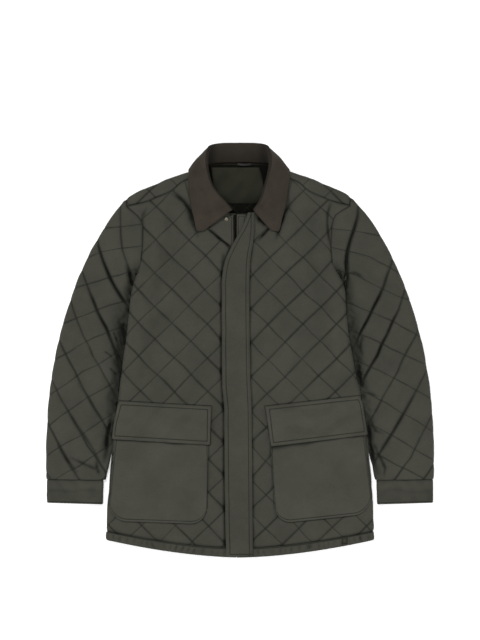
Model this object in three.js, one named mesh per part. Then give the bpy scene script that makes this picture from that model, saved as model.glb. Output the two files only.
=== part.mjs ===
// A man's diamond-quilted field jacket with a corduroy collar, laid out flat on its back,
// zipped, with its sleeves down. Millimetres. +X is the wearer's left, +Y runs from the hem to
// the collar, +Z is up from the surface that the jacket lies on. Points are worked out with
// "out", the distance from the middle of the jacket to either side, and "up", the distance from
// the hem. At the end the group is moved so that its origin is the middle of its box.

import * as THREE from 'three';

// Cloth walls
const QUILT_WALL = 5.6;    // shell, wadding and lining, quilted together
const SMOOTH_WALL = 2.4;   // two layers of shell cloth with an interlining
const THIN_WALL = 1.4;     // one layer of cloth, turned in at its edges
const CORD_WALL = 2.6;     // corduroy and undercollar
const SEAM = 0.3;          // open gap between two sewn pieces
const SIDE_SEAM = 0.8;     // the same, along the side seams, where the walls face each other
const ARM_SEAM = 0.8;      // the same, along the armhole, where the walls slope
const CAP_SEAM = 1.6;      // the same, round the shoulder fold at the sleeve's head
const LYING = 0.5;         // open gap under a piece that lies on a panel

// The body: the back on the surface, the fronts on the back
const BODY_THICK = 15;             // over both layers
const ROLL = BODY_THICK / 2;       // radius of the fold at the sides and shoulders
const ROLL_STEPS = 4;              // facets in a quarter turn of that fold
const BAND = 75;                   // width of the strip at each side with columns of its own
const HEM_BAND = 20;               // height of the hem band
const HEM_LOW = 2;                 // the hem's low point, at the front edges
const COLLAR_TOP = 871;            // the collar's fold at the back of the neck
const ARMPIT = 598;                // the side edge ends and the armhole begins here
const ARMHOLE_START = ARMPIT + 8;  // first open row of the armhole
const CAP_START = 725;              // the armhole turns out to the shoulder point from here
const SHOULDER_POINT = 738;        // where the armhole meets the forward shoulder seam
const PIT_EASE = 0.07;             // the side seam opens by this share just under the armpit
const CAP_BULGE = 4;               // the shoulder fold reaches this much further out
const SLEEVE_LIFT = 13;            // the body's edge lies this high over the tucked sleeve
const NECK_LIFT = 3.4;             // the back neck lies this high on the collar's back leaf
const ZIP_OUT = 8;                 // the zip's middle, on the wearer's right

// Half width of the body: the side edge up to the armpit, then the armhole seam
const EDGE_ROWS = [
  { up: 39, right: 281.4, left: 281.4 },
  { up: 115, right: 277.5, left: 278.5 },
  { up: 171, right: 273, left: 275 },
  { up: 227, right: 269, left: 270 },
  { up: 285, right: 262.5, left: 261.5 },
  { up: 345, right: 254, left: 252.5 },
  { up: 388, right: 248, left: 241.5 },
  { up: 430, right: 242.5, left: 234.5 },
  { up: 480, right: 236, left: 226 },
  { up: 530, right: 230.5, left: 221.5 },
  { up: 570, right: 224, left: 217 },
  { up: 598, right: 214, left: 203.5 },
  { up: 606, right: 212, left: 200 },
  { up: 626, right: 208.5, left: 193.5 },
  { up: 659, right: 204.5, left: 191 },
  { up: 693, right: 204, left: 193 },
  { up: 712, right: 212, left: 199 },
  { up: 725, right: 225, left: 213 },
  { up: 738, right: 238, left: 231 },
];

// Rows of the panels, before the hem's and the shoulders' curves are added
const PANEL_ROWS = [20.3, 60, 115, 171, 227, 285, 345, 388, 430, 480, 530, 570, ARMPIT,
  ARMHOLE_START, 626, 659, 693, 712, 725, SHOULDER_POINT];

// The top of the body: the shoulder fold as it lies, and the top edge of the fronts, which is
// the neckline up to the collar's side and then the forward shoulder seam
const TOP_ROWS = [
  { out: 0, fold: 833, front: 722 },
  { out: 20, fold: 833, front: 724 },
  { out: 40, fold: 833, front: 733 },
  { out: 57, fold: 831, front: 747 },
  { out: 68, fold: 826, front: 772 },
  { out: 80, fold: 820, front: 800 },
  { out: 117, fold: 806, front: 791 },
  { out: 146, fold: 797, front: 769 },
  { out: 176, fold: 784, front: 756 },
  { out: 202, fold: 773, front: 746 },
  { out: 238, fold: 753, front: 738 },
];

// Sections of the sleeve from the armhole to the cuff: its outer edge, the height of its inner
// edge, how far that edge lies beside the body's (less than 0 is tucked under it), its
// thickness at both edges, how high the inner edge lies, and how far the middle bows inward
const SLEEVE_ROWS = [
  { out: 276, up: 706, inUp: 585, beside: 0.8, thick: 15, inThick: 14, inHigh: 5, bow: 12 },
  { out: 307, up: 655, inUp: 560, beside: -4, thick: 16, inThick: 12, inHigh: 0, bow: 4 },
  { out: 335.5, up: 596, inUp: 528, beside: -10, thick: 17, inThick: 12, inHigh: 0, bow: 0 },
  { out: 358, up: 535, inUp: 484, beside: -12, thick: 17, inThick: 12, inHigh: 0, bow: 0 },
  { out: 376, up: 475, inUp: 438, beside: -9, thick: 17, inThick: 12, inHigh: 0, bow: 0 },
  { out: 388.5, up: 418, inUp: 398, beside: 0.6, thick: 16, inThick: 13, inHigh: 0, bow: 0 },
  { out: 398, up: 360, inUp: 345, beside: 0.6, thick: 16, inThick: 14, inHigh: 0, bow: 0 },
  { out: 403.5, up: 300, inUp: 292, beside: 0.6, thick: 15, inThick: 14, inHigh: 0, bow: 0 },
  { out: 406.5, up: 235, inUp: 229, beside: 0.8, thick: 15, inThick: 14, inHigh: 0, bow: 0 },
  { out: 407, up: 190, inUp: 188, beside: 4.5, thick: 15, inThick: 14, inHigh: 0, bow: 0 },
  { out: 406.5, up: 166, inUp: 164.5, beside: 7, thick: 14, inThick: 14, inHigh: 0, bow: 0 },
];
const SLEEVE_WALL = 5.4;

// The cuff: its two ends, each from the outer edge to the inner edge
const CUFF_ROWS = [
  { out: 405, up: 166, inOut: 286, inUp: 164.6 },
  { out: 405, up: 117, inOut: 287.5, inUp: 113.5 },
];
const CUFF_THICK = 12.6;
const CUFF_WALL = 4.6;

// Sections of the collar from the back of the neck to its front end: the neck seam, the fold
// with its turn (degrees from lying inward over the stand to lying outward), a point on the
// leaf and the leaf's edge. Each point is [out, up, high].
const COLLAR_ROWS = [
  { seam: [0, 831, 11.5], fold: [0, 871, 17], turn: 180, leaf: [0, 842, 0.4], edge: [0, 805, 0.1] },
  { seam: [24, 831, 11.5], fold: [26, 871, 17], turn: 180, leaf: [34, 841, 0.4], edge: [40, 804, 0.1] },
  { seam: [46, 830, 12.5], fold: [52, 868.5, 19], turn: 175, leaf: [72, 840, 0.5], edge: [78, 802, 0.1] },
  { seam: [60, 829, 17], fold: [63, 862, 26], turn: 140, leaf: [90, 843, 4.5], edge: [106, 817, 0.4] },
  { seam: [66, 824, 22.4], fold: [65, 850, 33], turn: 95, leaf: [94, 838, 21], edge: [118, 815, 14] },
  { seam: [74, 806, 22.4], fold: [64.5, 832, 36], turn: 50, leaf: [90, 820, 25], edge: [114, 798, 23.5] },
  { seam: [74, 786, 22.2], fold: [60, 806, 36], turn: 10, leaf: [84, 797, 26], edge: [108, 782, 22.4] },
  { seam: [66, 766, 21], fold: [54, 784, 35], turn: 0, leaf: [80, 774, 25.5], edge: [104, 764, 22] },
  { seam: [54, 750, 20], fold: [44, 762, 32], turn: 0, leaf: [72, 751, 25], edge: [100.5, 743, 21.4] },
  { seam: [41, 739, 19.6], fold: [33, 746, 29], turn: 0, leaf: [62, 731, 24], edge: [97, 716, 21] },
  { seam: [33.5, 734, 19.5], fold: [26.5, 738, 28], turn: 0, leaf: [55, 718, 23.6], edge: [87, 686, 21] },
  { seam: [29, 730, 19.4], fold: [21.5, 731, 27], turn: 0, leaf: [44, 711, 23.2], edge: [72, 687, 21] },
];
const COLLAR_FOLD = 4;     // radius of the collar's fold
const STAND_STEPS = 2;
const LEAF_STEPS = 4;
const LEAF_CLEAR = 0.1;    // the back leaf lies this high over the surface

// Patch pockets: corners as [out, up], inner and outer, top and bottom
const POCKETS = {
  right: {
    flap: { innerTop: [60, 319], outerTop: [252, 330], outerLow: [266.5, 250], innerLow: [63, 238] },
    bag: { innerTop: [65, 303], outerTop: [256, 313], outerLow: [272, 79], innerLow: [70, 72] },
  },
  left: {
    flap: { innerTop: [53, 319], outerTop: [250, 341], outerLow: [266.5, 259], innerLow: [65, 235] },
    bag: { innerTop: [60, 303], outerTop: [254, 324], outerLow: [273, 94], innerLow: [75, 73] },
  },
};
const POCKET_ROUND = 34;   // radius of a pocket's lower corners
const FLAP_HEIGHT = LYING + SMOOTH_WALL + LYING + SEAM;    // a flap lies this high over its panel

// The placket's free edge, which is turned back at the top, and its sewn edge. Both run out
// to the wearer's left.
const PLACKET_ROWS = [
  { up: 4, free: -29, seam: 27 },
  { up: 80, free: -30.9, seam: 26.2 },
  { up: 206, free: -32.5, seam: 25.2 },
  { up: 300, free: -33, seam: 24.4 },
  { up: 395, free: -38, seam: 21 },
  { up: 567, free: -38.2, seam: 19.5 },
  { up: 601, free: -36, seam: 20 },
  { up: 626, free: -30.5, seam: 21.5 },
  { up: 643, free: -23, seam: 24 },
  { up: 659, free: -15, seam: 27 },
  { up: 676, free: -5.5, seam: 29 },
  { up: 693, free: 4.2, seam: 30.5 },
  { up: 725, free: 16.8, seam: 30.5 },
];
const FLY_HIGH = 2.7;       // the placket lies this high over the fronts, on the zip and stud row

const COLOURS = {
  quilt: 0x42423a,
  smooth: 0x49483f,
  corduroy: 0x3a3630,
  lining: 0x2e2d28,
  zip: 0x1d1c1a,
  stud: 0x4a463c,
};

const { lerp, clamp, smoothstep, degToRad } = THREE.MathUtils;

// Straight-line value of a column of a table, at a height or width between two of its rows
function readTable(rows, key, at, column) {
  let index = 0;
  while (index < rows.length - 2 && at > rows[index + 1][key]) {
    index += 1;
  }
  const low = rows[index];
  const high = rows[index + 1];
  const share = clamp((at - low[key]) / (high[key] - low[key]), 0, 1);
  return lerp(low[column], high[column], share);
}

const sideName = (side) => (side < 0 ? 'right' : 'left');
const halfWidth = (side, up) => readTable(EDGE_ROWS, 'up', up, sideName(side));
const hemCurve = (out) => HEM_LOW + (EDGE_ROWS[0].up - HEM_LOW) * Math.abs(out / EDGE_ROWS[0].left) ** 1.7;

// How far the whole body is lifted: at the sides by the sleeve tucked under it, and at the back
// of the neck by the collar's leaf under it
function bodyLift(side, out, up) {
  const fromEdge = halfWidth(side, up) - out;
  const across = 1 - smoothstep(fromEdge, 25, BAND);
  const along = smoothstep(up, 345, 430) * (1 - smoothstep(up, 626, 712));
  const neck = smoothstep(up, 738, 764) * (1 - smoothstep(out, 112, 165));
  return SLEEVE_LIFT * across * along + NECK_LIFT * neck;
}

// Columns of a panel from the middle out: shares of the middle part, then distances in from the
// edge, then the angles of the fold at the edge
const SEAM_TURN = 90 - THREE.MathUtils.radToDeg(SIDE_SEAM / 2 / ROLL);
const MIDDLE_COLUMNS = [0.25, 0.5, 0.75, 1].map((share) => ({ share }));
const EDGE_COLUMNS = [50, 25, ROLL].map((inset) => ({ inset }));
const ROLL_COLUMNS = Array.from({ length: ROLL_STEPS }, (_, index) => (
  { turn: SEAM_TURN * (index + 1) / ROLL_STEPS }
));
const SIDE_COLUMNS = [...MIDDLE_COLUMNS, ...EDGE_COLUMNS, ...ROLL_COLUMNS];
const FOLD_COLUMN = 1;     // the shoulder fold begins at this side column
const BEYOND_SEAM = { turn: SEAM_TURN + 90 / ROLL_STEPS };   // only steers the wall at the seam

// Outer point of a body layer at a column and row. Layer -1 is the back, 1 the front.
function bodyPoint(side, column, row, layer) {
  const hemShare = clamp(1 - row / 300, 0, 1);
  const edgeUp = row + hemCurve(EDGE_ROWS[0].left) * hemShare;
  const width = halfWidth(side, edgeUp);
  const folded = 1 - clamp((row - ARMPIT) / (ARMHOLE_START - ARMPIT), 0, 1);
  let out = column.out;
  let drop = 0;
  if (column.share !== undefined) {
    out = column.share * (width - BAND);
  } else if (column.inset !== undefined) {
    out = width - column.inset;
  } else if (column.turn !== undefined) {
    const easing = 1 - PIT_EASE * smoothstep(row, ARMPIT - 28, ARMPIT);
    const angle = degToRad(column.turn * easing);
    const flat = column.turn / SEAM_TURN;
    out = width - ROLL + ROLL * lerp(flat, Math.sin(angle), folded);
    drop = ROLL * (1 - Math.cos(angle)) * folded;
  }
  const topShare = clamp((row - ARMPIT) / (SHOULDER_POINT - ARMPIT), 0, 1);
  const topEdge = layer < 0
    ? readTable(TOP_ROWS, 'out', out, 'fold') - ROLL
    : readTable(TOP_ROWS, 'out', out, 'front');
  const up = row + hemCurve(out) * hemShare + (topEdge - SHOULDER_POINT) * topShare;
  const lift = bodyLift(side, out, up);
  const high = layer < 0 ? lift + drop : lift + BODY_THICK - drop;
  return new THREE.Vector3(side * out, up, high);
}

// A place over the fronts, moved out from the panel by high: over the side fold it follows the
// fold round
function overFront(side, out, up, high) {
  const foldStart = halfWidth(side, up) - ROLL;
  const angle = Math.asin(clamp((out - foldStart) / ROLL, 0, 1));
  const flatOut = Math.min(out, foldStart);
  const centre = bodyLift(side, out, up) + BODY_THICK - ROLL;
  const reach = ROLL + high;
  return new THREE.Vector3(side * (flatOut + reach * Math.sin(angle)), up, centre + reach * Math.cos(angle));
}

// The back's way round the shoulder: up the fold and down to the forward shoulder seam
const FOLD_TURNS = [30, 60, 90, 120, 150, 180];
function shoulderPoint(side, column, turn, ontoFront) {
  const flat = bodyPoint(side, column, SHOULDER_POINT, -1);
  const angle = degToRad(turn);
  const out = Math.abs(flat.x);
  const bulge = CAP_BULGE * (out / EDGE_ROWS.at(-1)[sideName(side)]) * Math.sin(angle);
  const seamUp = readTable(TOP_ROWS, 'out', out, 'front') + SEAM;
  const up = lerp(flat.y, seamUp, ontoFront) + ROLL * Math.sin(angle);
  const high = bodyLift(side, out, up) + ROLL * (1 - Math.cos(angle));
  return new THREE.Vector3(side * (out + bulge), up, high);
}

// What a cell of a grid is: cloth, nothing, or a guide that only steers the wall beside it
const CLOTH = 'cloth';
const GUIDE = 'guide';
const NOTHING = 'nothing';

// A closed cloth wall from a grid of outer points, rows by columns, and its thickness. The wall
// goes in from the side that face gives.
function clothWall(grid, wall, face, kindOf = () => CLOTH) {
  const rows = grid.length;
  const columns = grid[0].length;
  const normals = grid.map((row) => row.map(() => new THREE.Vector3()));
  const cells = [];
  for (let row = 0; row < rows - 1; row += 1) {
    for (let column = 0; column < columns - 1; column += 1) {
      const kind = kindOf(row, column);
      if (kind === NOTHING) {
        continue;
      }
      if (kind === CLOTH) {
        cells.push([row, column]);
      }
      const across = grid[row][column + 1].clone().sub(grid[row + 1][column]);
      const along = grid[row + 1][column + 1].clone().sub(grid[row][column]);
      const normal = across.cross(along).multiplyScalar(face);
      for (const [up, over] of [[0, 0], [0, 1], [1, 0], [1, 1]]) {
        normals[row + up][column + over].add(normal);
      }
    }
  }
  const positions = [];
  const index = { 0: new Map(), 1: new Map() };
  const vertex = (layer, row, column) => {
    const key = row * columns + column;
    if (!index[layer].has(key)) {
      const inward = normals[row][column].clone().normalize().multiplyScalar(-wall * layer);
      index[layer].set(key, positions.length / 3);
      positions.push(...grid[row][column].clone().add(inward).toArray());
    }
    return index[layer].get(key);
  };
  const triangles = [];
  const quad = (a, b, c, d) => {
    triangles.push(...(face > 0 ? [a, b, c, a, c, d] : [a, c, b, a, d, c]));
  };
  const filled = new Set(cells.map(([row, column]) => row * columns + column));
  const isFilled = (row, column) => (
    row >= 0 && column >= 0 && column < columns - 1 && filled.has(row * columns + column)
  );
  for (const [row, column] of cells) {
    const corners = [[row, column], [row, column + 1], [row + 1, column + 1], [row + 1, column]];
    const outer = corners.map(([r, c]) => vertex(0, r, c));
    const inner = corners.map(([r, c]) => vertex(1, r, c));
    quad(...outer);
    quad(inner[3], inner[2], inner[1], inner[0]);
    const beyond = [[row - 1, column], [row, column + 1], [row + 1, column], [row, column - 1]];
    beyond.forEach(([r, c], edge) => {
      if (!isFilled(r, c)) {
        const next = (edge + 1) % 4;
        quad(outer[edge], inner[edge], inner[next], outer[next]);
      }
    });
  }
  return closedGeometry(positions, triangles);
}

// A closed tube wall from matching outer and inner rings
function tubeWall(outerRings, innerRings, face) {
  const count = outerRings[0].length;
  const positions = [...outerRings, ...innerRings].flat().flatMap((point) => point.toArray());
  const triangles = [];
  const quad = (a, b, c, d) => {
    triangles.push(...(face > 0 ? [a, b, c, a, c, d] : [a, c, b, a, d, c]));
  };
  const outer = (ring, point) => ring * count + (point % count);
  const inner = (ring, point) => (outerRings.length + ring) * count + (point % count);
  const last = outerRings.length - 1;
  for (let point = 0; point < count; point += 1) {
    for (let ring = 0; ring < last; ring += 1) {
      quad(outer(ring, point), outer(ring, point + 1), outer(ring + 1, point + 1), outer(ring + 1, point));
      quad(inner(ring + 1, point), inner(ring + 1, point + 1), inner(ring, point + 1), inner(ring, point));
    }
    quad(inner(0, point), inner(0, point + 1), outer(0, point + 1), outer(0, point));
    quad(outer(last, point), outer(last, point + 1), inner(last, point + 1), inner(last, point));
  }
  return closedGeometry(positions, triangles);
}

function closedGeometry(positions, triangles) {
  const geometry = new THREE.BufferGeometry();
  geometry.setAttribute('position', new THREE.Float32BufferAttribute(positions, 3));
  geometry.setIndex(triangles);
  geometry.computeVertexNormals();
  return geometry;
}

const jacket = new THREE.Group();
function addPiece(name, geometry, colour, roughness = 0.85) {
  const material = new THREE.MeshStandardMaterial({ color: colour, roughness, metalness: 0 });
  const mesh = new THREE.Mesh(geometry, material);
  mesh.name = name;
  jacket.add(mesh);
  return mesh;
}

// ---- Back and its hem band -----------------------------------------------------------------
const guidedColumns = [...SIDE_COLUMNS, BEYOND_SEAM];
const bothSides = [
  ...[...guidedColumns].reverse().map((column) => ({ side: -1, column })),
  { side: 1, column: { out: 0 } },
  ...guidedColumns.map((column) => ({ side: 1, column })),
];
const isGuide = (column) => column === 0 || column === bothSides.length - 2;
const backRow = (row) => bothSides.map(({ side, column }) => bodyPoint(side, column, row, -1));
const foldRow = (turn, ontoFront) => bothSides.map(({ side, column }) => (
  shoulderPoint(side, column, turn, ontoFront)
));

function makeBack() {
  const grid = [
    ...PANEL_ROWS.map(backRow),
    ...FOLD_TURNS.map((turn) => foldRow(turn, 0)),
    foldRow(180, 0.5),
    foldRow(180, 1),
  ];
  const middle = guidedColumns.length;
  const kindOf = (row, column) => {
    const fromMiddle = column < middle ? middle - 1 - column : column - middle;
    if (row >= PANEL_ROWS.length - 1 && fromMiddle <= FOLD_COLUMN) {
      return NOTHING;
    }
    return isGuide(column) ? GUIDE : CLOTH;
  };
  addPiece('back', clothWall(grid, QUILT_WALL, -1, kindOf), COLOURS.quilt);
  const band = [0, HEM_BAND].map(backRow);
  const bandKind = (row, column) => (isGuide(column) ? GUIDE : CLOTH);
  addPiece('hem_back', clothWall(band, QUILT_WALL, -1, bandKind), COLOURS.smooth);
}

// ---- Fronts and their hem bands ------------------------------------------------------------
function makeFront(side) {
  const zipEdge = { out: side < 0 ? ZIP_OUT + 1 : 1 - ZIP_OUT };
  const columns = [zipEdge, ...guidedColumns];
  const gridRow = (up) => columns.map((column) => bodyPoint(side, column, up, 1));
  const kindOf = (row, column) => (column === columns.length - 2 ? GUIDE : CLOTH);
  const name = sideName(side);
  const panel = clothWall(PANEL_ROWS.map(gridRow), QUILT_WALL, side, kindOf);
  addPiece(`front_${name}`, panel, COLOURS.quilt);
  const band = clothWall([0, HEM_BAND].map(gridRow), QUILT_WALL, side, kindOf);
  addPiece(`hem_${name}`, band, COLOURS.smooth);
}

// ---- Sleeves and cuffs ---------------------------------------------------------------------
const ARC_TURNS = [45, 90, 135];

// One ring of the sleeve at the armhole, along the open edge of the body
function armholeRing(side, inset) {
  const shift = (point, gap = ARM_SEAM) => new THREE.Vector3(point.x + side * gap, point.y, point.z);
  const armhole = PANEL_ROWS.filter((row) => row >= ARMHOLE_START);
  const edge = SIDE_COLUMNS.at(-1);
  const top = armhole.map((row) => shift(bodyPoint(side, edge, row, 1)));
  const under = armhole.map((row) => (
    shift(bodyPoint(side, edge, row, -1), row < CAP_START ? ARM_SEAM : CAP_SEAM)
  ));
  const shoulderTop = shift(shoulderPoint(side, edge, 180, 0));
  const radius = ROLL - inset;
  const capArc = FOLD_TURNS.slice(0, -1).map((turn) => {
    const point = shift(shoulderPoint(side, edge, turn, 0), CAP_SEAM);
    const centre = shift(bodyPoint(side, edge, SHOULDER_POINT, -1), CAP_SEAM);
    centre.z += ROLL;
    return centre.lerp(point, radius / ROLL);
  });
  const pitArc = ARC_TURNS.map((turn) => {
    const centre = under[0].clone().lerp(top[0], 0.5);
    const end = shift(bodyPoint(side, edge, ARMPIT, -1));
    end.z = centre.z;
    const angle = degToRad(180 - turn);
    const point = centre.clone().lerp(end, Math.sin(angle));
    point.z -= ROLL * Math.cos(angle);
    return centre.lerp(point, radius / ROLL);
  });
  top.forEach((point) => {
    point.z -= inset;
  });
  shoulderTop.z -= inset;
  under.forEach((point) => {
    point.z += inset;
  });
  return [shoulderTop, ...top.reverse(), ...pitArc, ...under, ...capArc];
}

// Shares along a ring's flat stretches, matched to the points of the ring at the armhole
function ringShares(side) {
  const ring = armholeRing(side, 0);
  const rows = PANEL_ROWS.filter((row) => row >= ARMHOLE_START).length;
  const topPoints = ring.slice(0, rows + 1);
  const underPoints = ring.slice(rows + 1 + ARC_TURNS.length, rows * 2 + 1 + ARC_TURNS.length);
  const shareOf = (points) => points.map((point) => (
    (point.y - points[0].y) / (points.at(-1).y - points[0].y)
  ));
  return { top: shareOf(topPoints), under: shareOf(underPoints), cap: FOLD_TURNS.slice(0, -1) };
}

// A flattened ring between an outer and an inner edge, with round ends
function flatRing(side, shares, section, inset) {
  const outer = new THREE.Vector2(section.out, section.up);
  const inner = new THREE.Vector2(section.inOut, section.inUp);
  const along = outer.clone().sub(inner).normalize();
  const bowWay = new THREE.Vector2(-along.y, along.x);
  const outerRadius = section.thick / 2;
  const innerRadius = section.inThick / 2;
  const outerCentre = outer.clone().addScaledVector(along, -outerRadius);
  const innerCentre = inner.clone().addScaledVector(along, innerRadius);
  const place = (flat, high) => new THREE.Vector3(side * flat.x, flat.y, high);
  const level = (share, isTop) => {
    const flat = outerCentre.clone().lerp(innerCentre, share);
    flat.addScaledVector(bowWay, -section.bow * 4 * share * (1 - share));
    const base = section.inHigh * smoothstep(share, 0.3, 1);
    const thick = lerp(section.thick, section.inThick, share);
    return place(flat, isTop ? base + thick - inset : base + inset);
  };
  const arc = (centre, radius, base, way, turn) => {
    const angle = degToRad(turn);
    const flat = centre.clone().addScaledVector(along, way * (radius - inset) * Math.sin(angle));
    return place(flat, base + radius - (radius - inset) * Math.cos(angle));
  };
  return [
    ...shares.top.map((share) => level(share, true)),
    ...ARC_TURNS.map((turn) => arc(innerCentre, innerRadius, section.inHigh, -1, 180 - turn)),
    ...shares.under.map((share) => level(1 - share, false)),
    ...shares.cap.map((turn) => arc(outerCentre, outerRadius, 0, 1, turn)),
  ];
}

function makeSleeve(side) {
  const shares = ringShares(side);
  const sections = SLEEVE_ROWS.map((row) => (
    { ...row, inOut: halfWidth(side, row.inUp) + row.beside }
  ));
  const rings = (inset) => [
    armholeRing(side, inset),
    ...sections.map((section) => flatRing(side, shares, section, inset)),
  ];
  const name = sideName(side);
  const sleeve = tubeWall(rings(0), rings(SLEEVE_WALL), side);
  addPiece(`sleeve_${name}`, sleeve, COLOURS.quilt);

  const quarters = [0, 0.25, 0.5, 0.75, 1];
  const cuffShares = { top: quarters, under: quarters, cap: ARC_TURNS };
  const plain = { thick: CUFF_THICK, inThick: CUFF_THICK, inHigh: 0, bow: 0 };
  const cuffRings = (inset) => CUFF_ROWS.map((row) => (
    flatRing(side, cuffShares, { ...row, ...plain, up: row.up - SEAM, inUp: row.inUp - SEAM }, inset)
  ));
  const cuff = tubeWall(cuffRings(0), cuffRings(CUFF_WALL), side);
  addPiece(`cuff_${name}`, cuff, COLOURS.smooth);
}

// ---- Collar --------------------------------------------------------------------------------
function collarSection(row, side) {
  const point = ([out, up, high]) => new THREE.Vector3(side * out, up, high);
  const seam = point(row.seam);
  const fold = point(row.fold);
  const leaf = point(row.leaf);
  const edge = point(row.edge);
  const inward = new THREE.Vector3(seam.x - edge.x, seam.y - edge.y, 0);
  if (row.turn > 90) {
    inward.set(-side * row.fold[0] * 0.35, row.seam[1] - row.fold[1], 0);
  }
  inward.normalize();
  const turn = degToRad(row.turn);
  const upward = new THREE.Vector3(0, 0, 1);
  const tipWay = inward.clone().multiplyScalar(Math.cos(turn)).addScaledVector(upward, Math.sin(turn));
  const overWay = upward.clone().multiplyScalar(Math.cos(turn)).addScaledVector(inward, -Math.sin(turn));
  const centre = fold.clone().addScaledVector(tipWay, -COLLAR_FOLD);
  const around = [-90, -45, 0, 45, 90].map((degrees) => {
    const angle = degToRad(degrees);
    return centre.clone()
      .addScaledVector(overWay, COLLAR_FOLD * Math.sin(angle))
      .addScaledVector(tipWay, COLLAR_FOLD * Math.cos(angle));
  });
  const stand = [];
  for (let step = 0; step < STAND_STEPS; step += 1) {
    stand.push(seam.clone().lerp(around[0], step / STAND_STEPS));
  }
  const leafCurve = new THREE.CatmullRomCurve3([around.at(-1), leaf, edge]);
  const leafPoints = leafCurve.getPoints(LEAF_STEPS).slice(1);
  leafPoints.forEach((way) => {
    way.z = Math.max(way.z, LEAF_CLEAR);
  });
  return [...stand, ...around, ...leafPoints];
}

function makeCollar() {
  const right = [...COLLAR_ROWS].reverse().map((row) => collarSection(row, -1));
  const left = COLLAR_ROWS.slice(1).map((row) => collarSection(row, 1));
  const collar = clothWall([...right, ...left], CORD_WALL, -1);
  addPiece('collar', collar, COLOURS.corduroy, 0.95);
}

// ---- Pieces that lie on the fronts ---------------------------------------------------------

// A patch over a front between four corners. Its columns crowd at the outer edge, where the
// panel turns down. Round low corners are cut by roundness; high() gives its height.
const PATCH_COLUMNS = [0, 0.03, 0.08, 0.16, 0.35, 0.55, 0.75, 0.87, 0.94, 0.955, 0.97, 0.985, 1];
const PATCH_LIMIT = 2.2;   // a patch ends this far inside the body's silhouette
function patchGrid(side, corners, rowShares, roundness, high) {
  const width = corners.outerLow[0] - corners.innerLow[0];
  return rowShares.map((share) => PATCH_COLUMNS.map((across) => {
    const fromCorner = Math.min(across, 1 - across) * width;
    const cut = clamp(1 - fromCorner / Math.max(roundness, 1), 0, 1);
    const raised = roundness * (1 - Math.sqrt(1 - cut ** 2));
    const topUp = lerp(corners.innerTop[1], corners.outerTop[1], across);
    const lowUp = lerp(corners.innerLow[1], corners.outerLow[1], across) + raised;
    const up = lerp(lowUp, topUp, share);
    const innerOut = lerp(corners.innerLow[0], corners.innerTop[0], share);
    const outerOut = lerp(corners.outerLow[0], corners.outerTop[0], share);
    const outerEnd = Math.min(outerOut, halfWidth(side, up) - PATCH_LIMIT);
    return overFront(side, lerp(innerOut, outerEnd, across), up, high(share));
  }));
}

function makePocket(side) {
  const name = sideName(side);
  const { flap, bag } = POCKETS[name];
  const bagHigh = () => LYING + SMOOTH_WALL;
  const bagGrid = patchGrid(side, bag, [0, 0.1, 0.2, 0.45, 0.7, 1], POCKET_ROUND, bagHigh);
  addPiece(`pocket_${name}`, clothWall(bagGrid, SMOOTH_WALL, side), COLOURS.smooth);
  const flapHigh = (share) => SMOOTH_WALL + lerp(FLAP_HEIGHT, LYING, clamp((share - 0.86) / 0.14, 0, 1));
  const flapGrid = patchGrid(side, flap, [0, 0.4, 0.86, 1], 0, flapHigh);
  addPiece(`flap_${name}`, clothWall(flapGrid, SMOOTH_WALL, side), COLOURS.smooth);
}

// The middle of the fronts is flat, so the fly's pieces lie at one height
const FLY_FLOOR = BODY_THICK;

function makePlacket() {
  const acrossShares = [
    { share: 0, high: LYING },
    { share: 0.09, high: FLY_HIGH },
    { share: 0.5, high: FLY_HIGH },
    { share: 0.9, high: FLY_HIGH },
    { share: 1, high: LYING },
  ];
  const grid = PLACKET_ROWS.map(({ up, free, seam }) => acrossShares.map(({ share, high }) => {
    const turnedBack = up > 625 && share < 0.05 ? FLY_HIGH : high;
    return new THREE.Vector3(lerp(free, seam, share), up, FLY_FLOOR + turnedBack + SMOOTH_WALL);
  }));
  addPiece('placket', clothWall(grid, SMOOTH_WALL, 1), COLOURS.smooth);
}

// A flat strip over the fronts between two pairs of corners, each [x, up]
function makeStrip(name, rightEdge, leftEdge, high, wall, colour) {
  const grid = rightEdge.map((start, index) => [start, leftEdge[index]].map(([x, up]) => (
    new THREE.Vector3(x, up, high + wall)
  )));
  return addPiece(name, clothWall(grid, wall, 1), colour);
}

const FLY_TOP = 720;
function makeFly() {
  const zipRight = [[-ZIP_OUT - 5.5, 16], [-ZIP_OUT - 5.5, 560], [-ZIP_OUT - 5.5, FLY_TOP]];
  const zipLeft = [[-ZIP_OUT + 0.6, 16], [-ZIP_OUT + 0.6, 560], [-ZIP_OUT + 0.6, FLY_TOP]];
  makeStrip('zip', zipRight, zipLeft, FLY_FLOOR + SEAM, THIN_WALL, COLOURS.zip);
  const guardRight = [[-ZIP_OUT + 1.2, 560], [-ZIP_OUT + 1.2, FLY_TOP]];
  const guardLeft = [[12, 560], [12, FLY_TOP]];
  makeStrip('zip_guard', guardRight, guardLeft, FLY_FLOOR + SEAM, THIN_WALL, COLOURS.smooth);
  const cornerRight = [[-31, 664], [-64, 692], [-38, 708]];
  const cornerLeft = [[-14.5, 652], [-14.5, 690], [-14.5, FLY_TOP]];
  makeStrip('fly_corner', cornerRight, cornerLeft, FLY_FLOOR + SEAM, THIN_WALL, COLOURS.smooth);
  const stud = new THREE.CylinderGeometry(3.4, 3.8, 1.8, 24);
  stud.rotateX(Math.PI / 2);
  const mesh = addPiece('snap_stud', stud, COLOURS.stud, 0.4);
  mesh.position.set(-28.5, 711, FLY_FLOOR + 2 * SEAM + THIN_WALL + 0.9);
}

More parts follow.
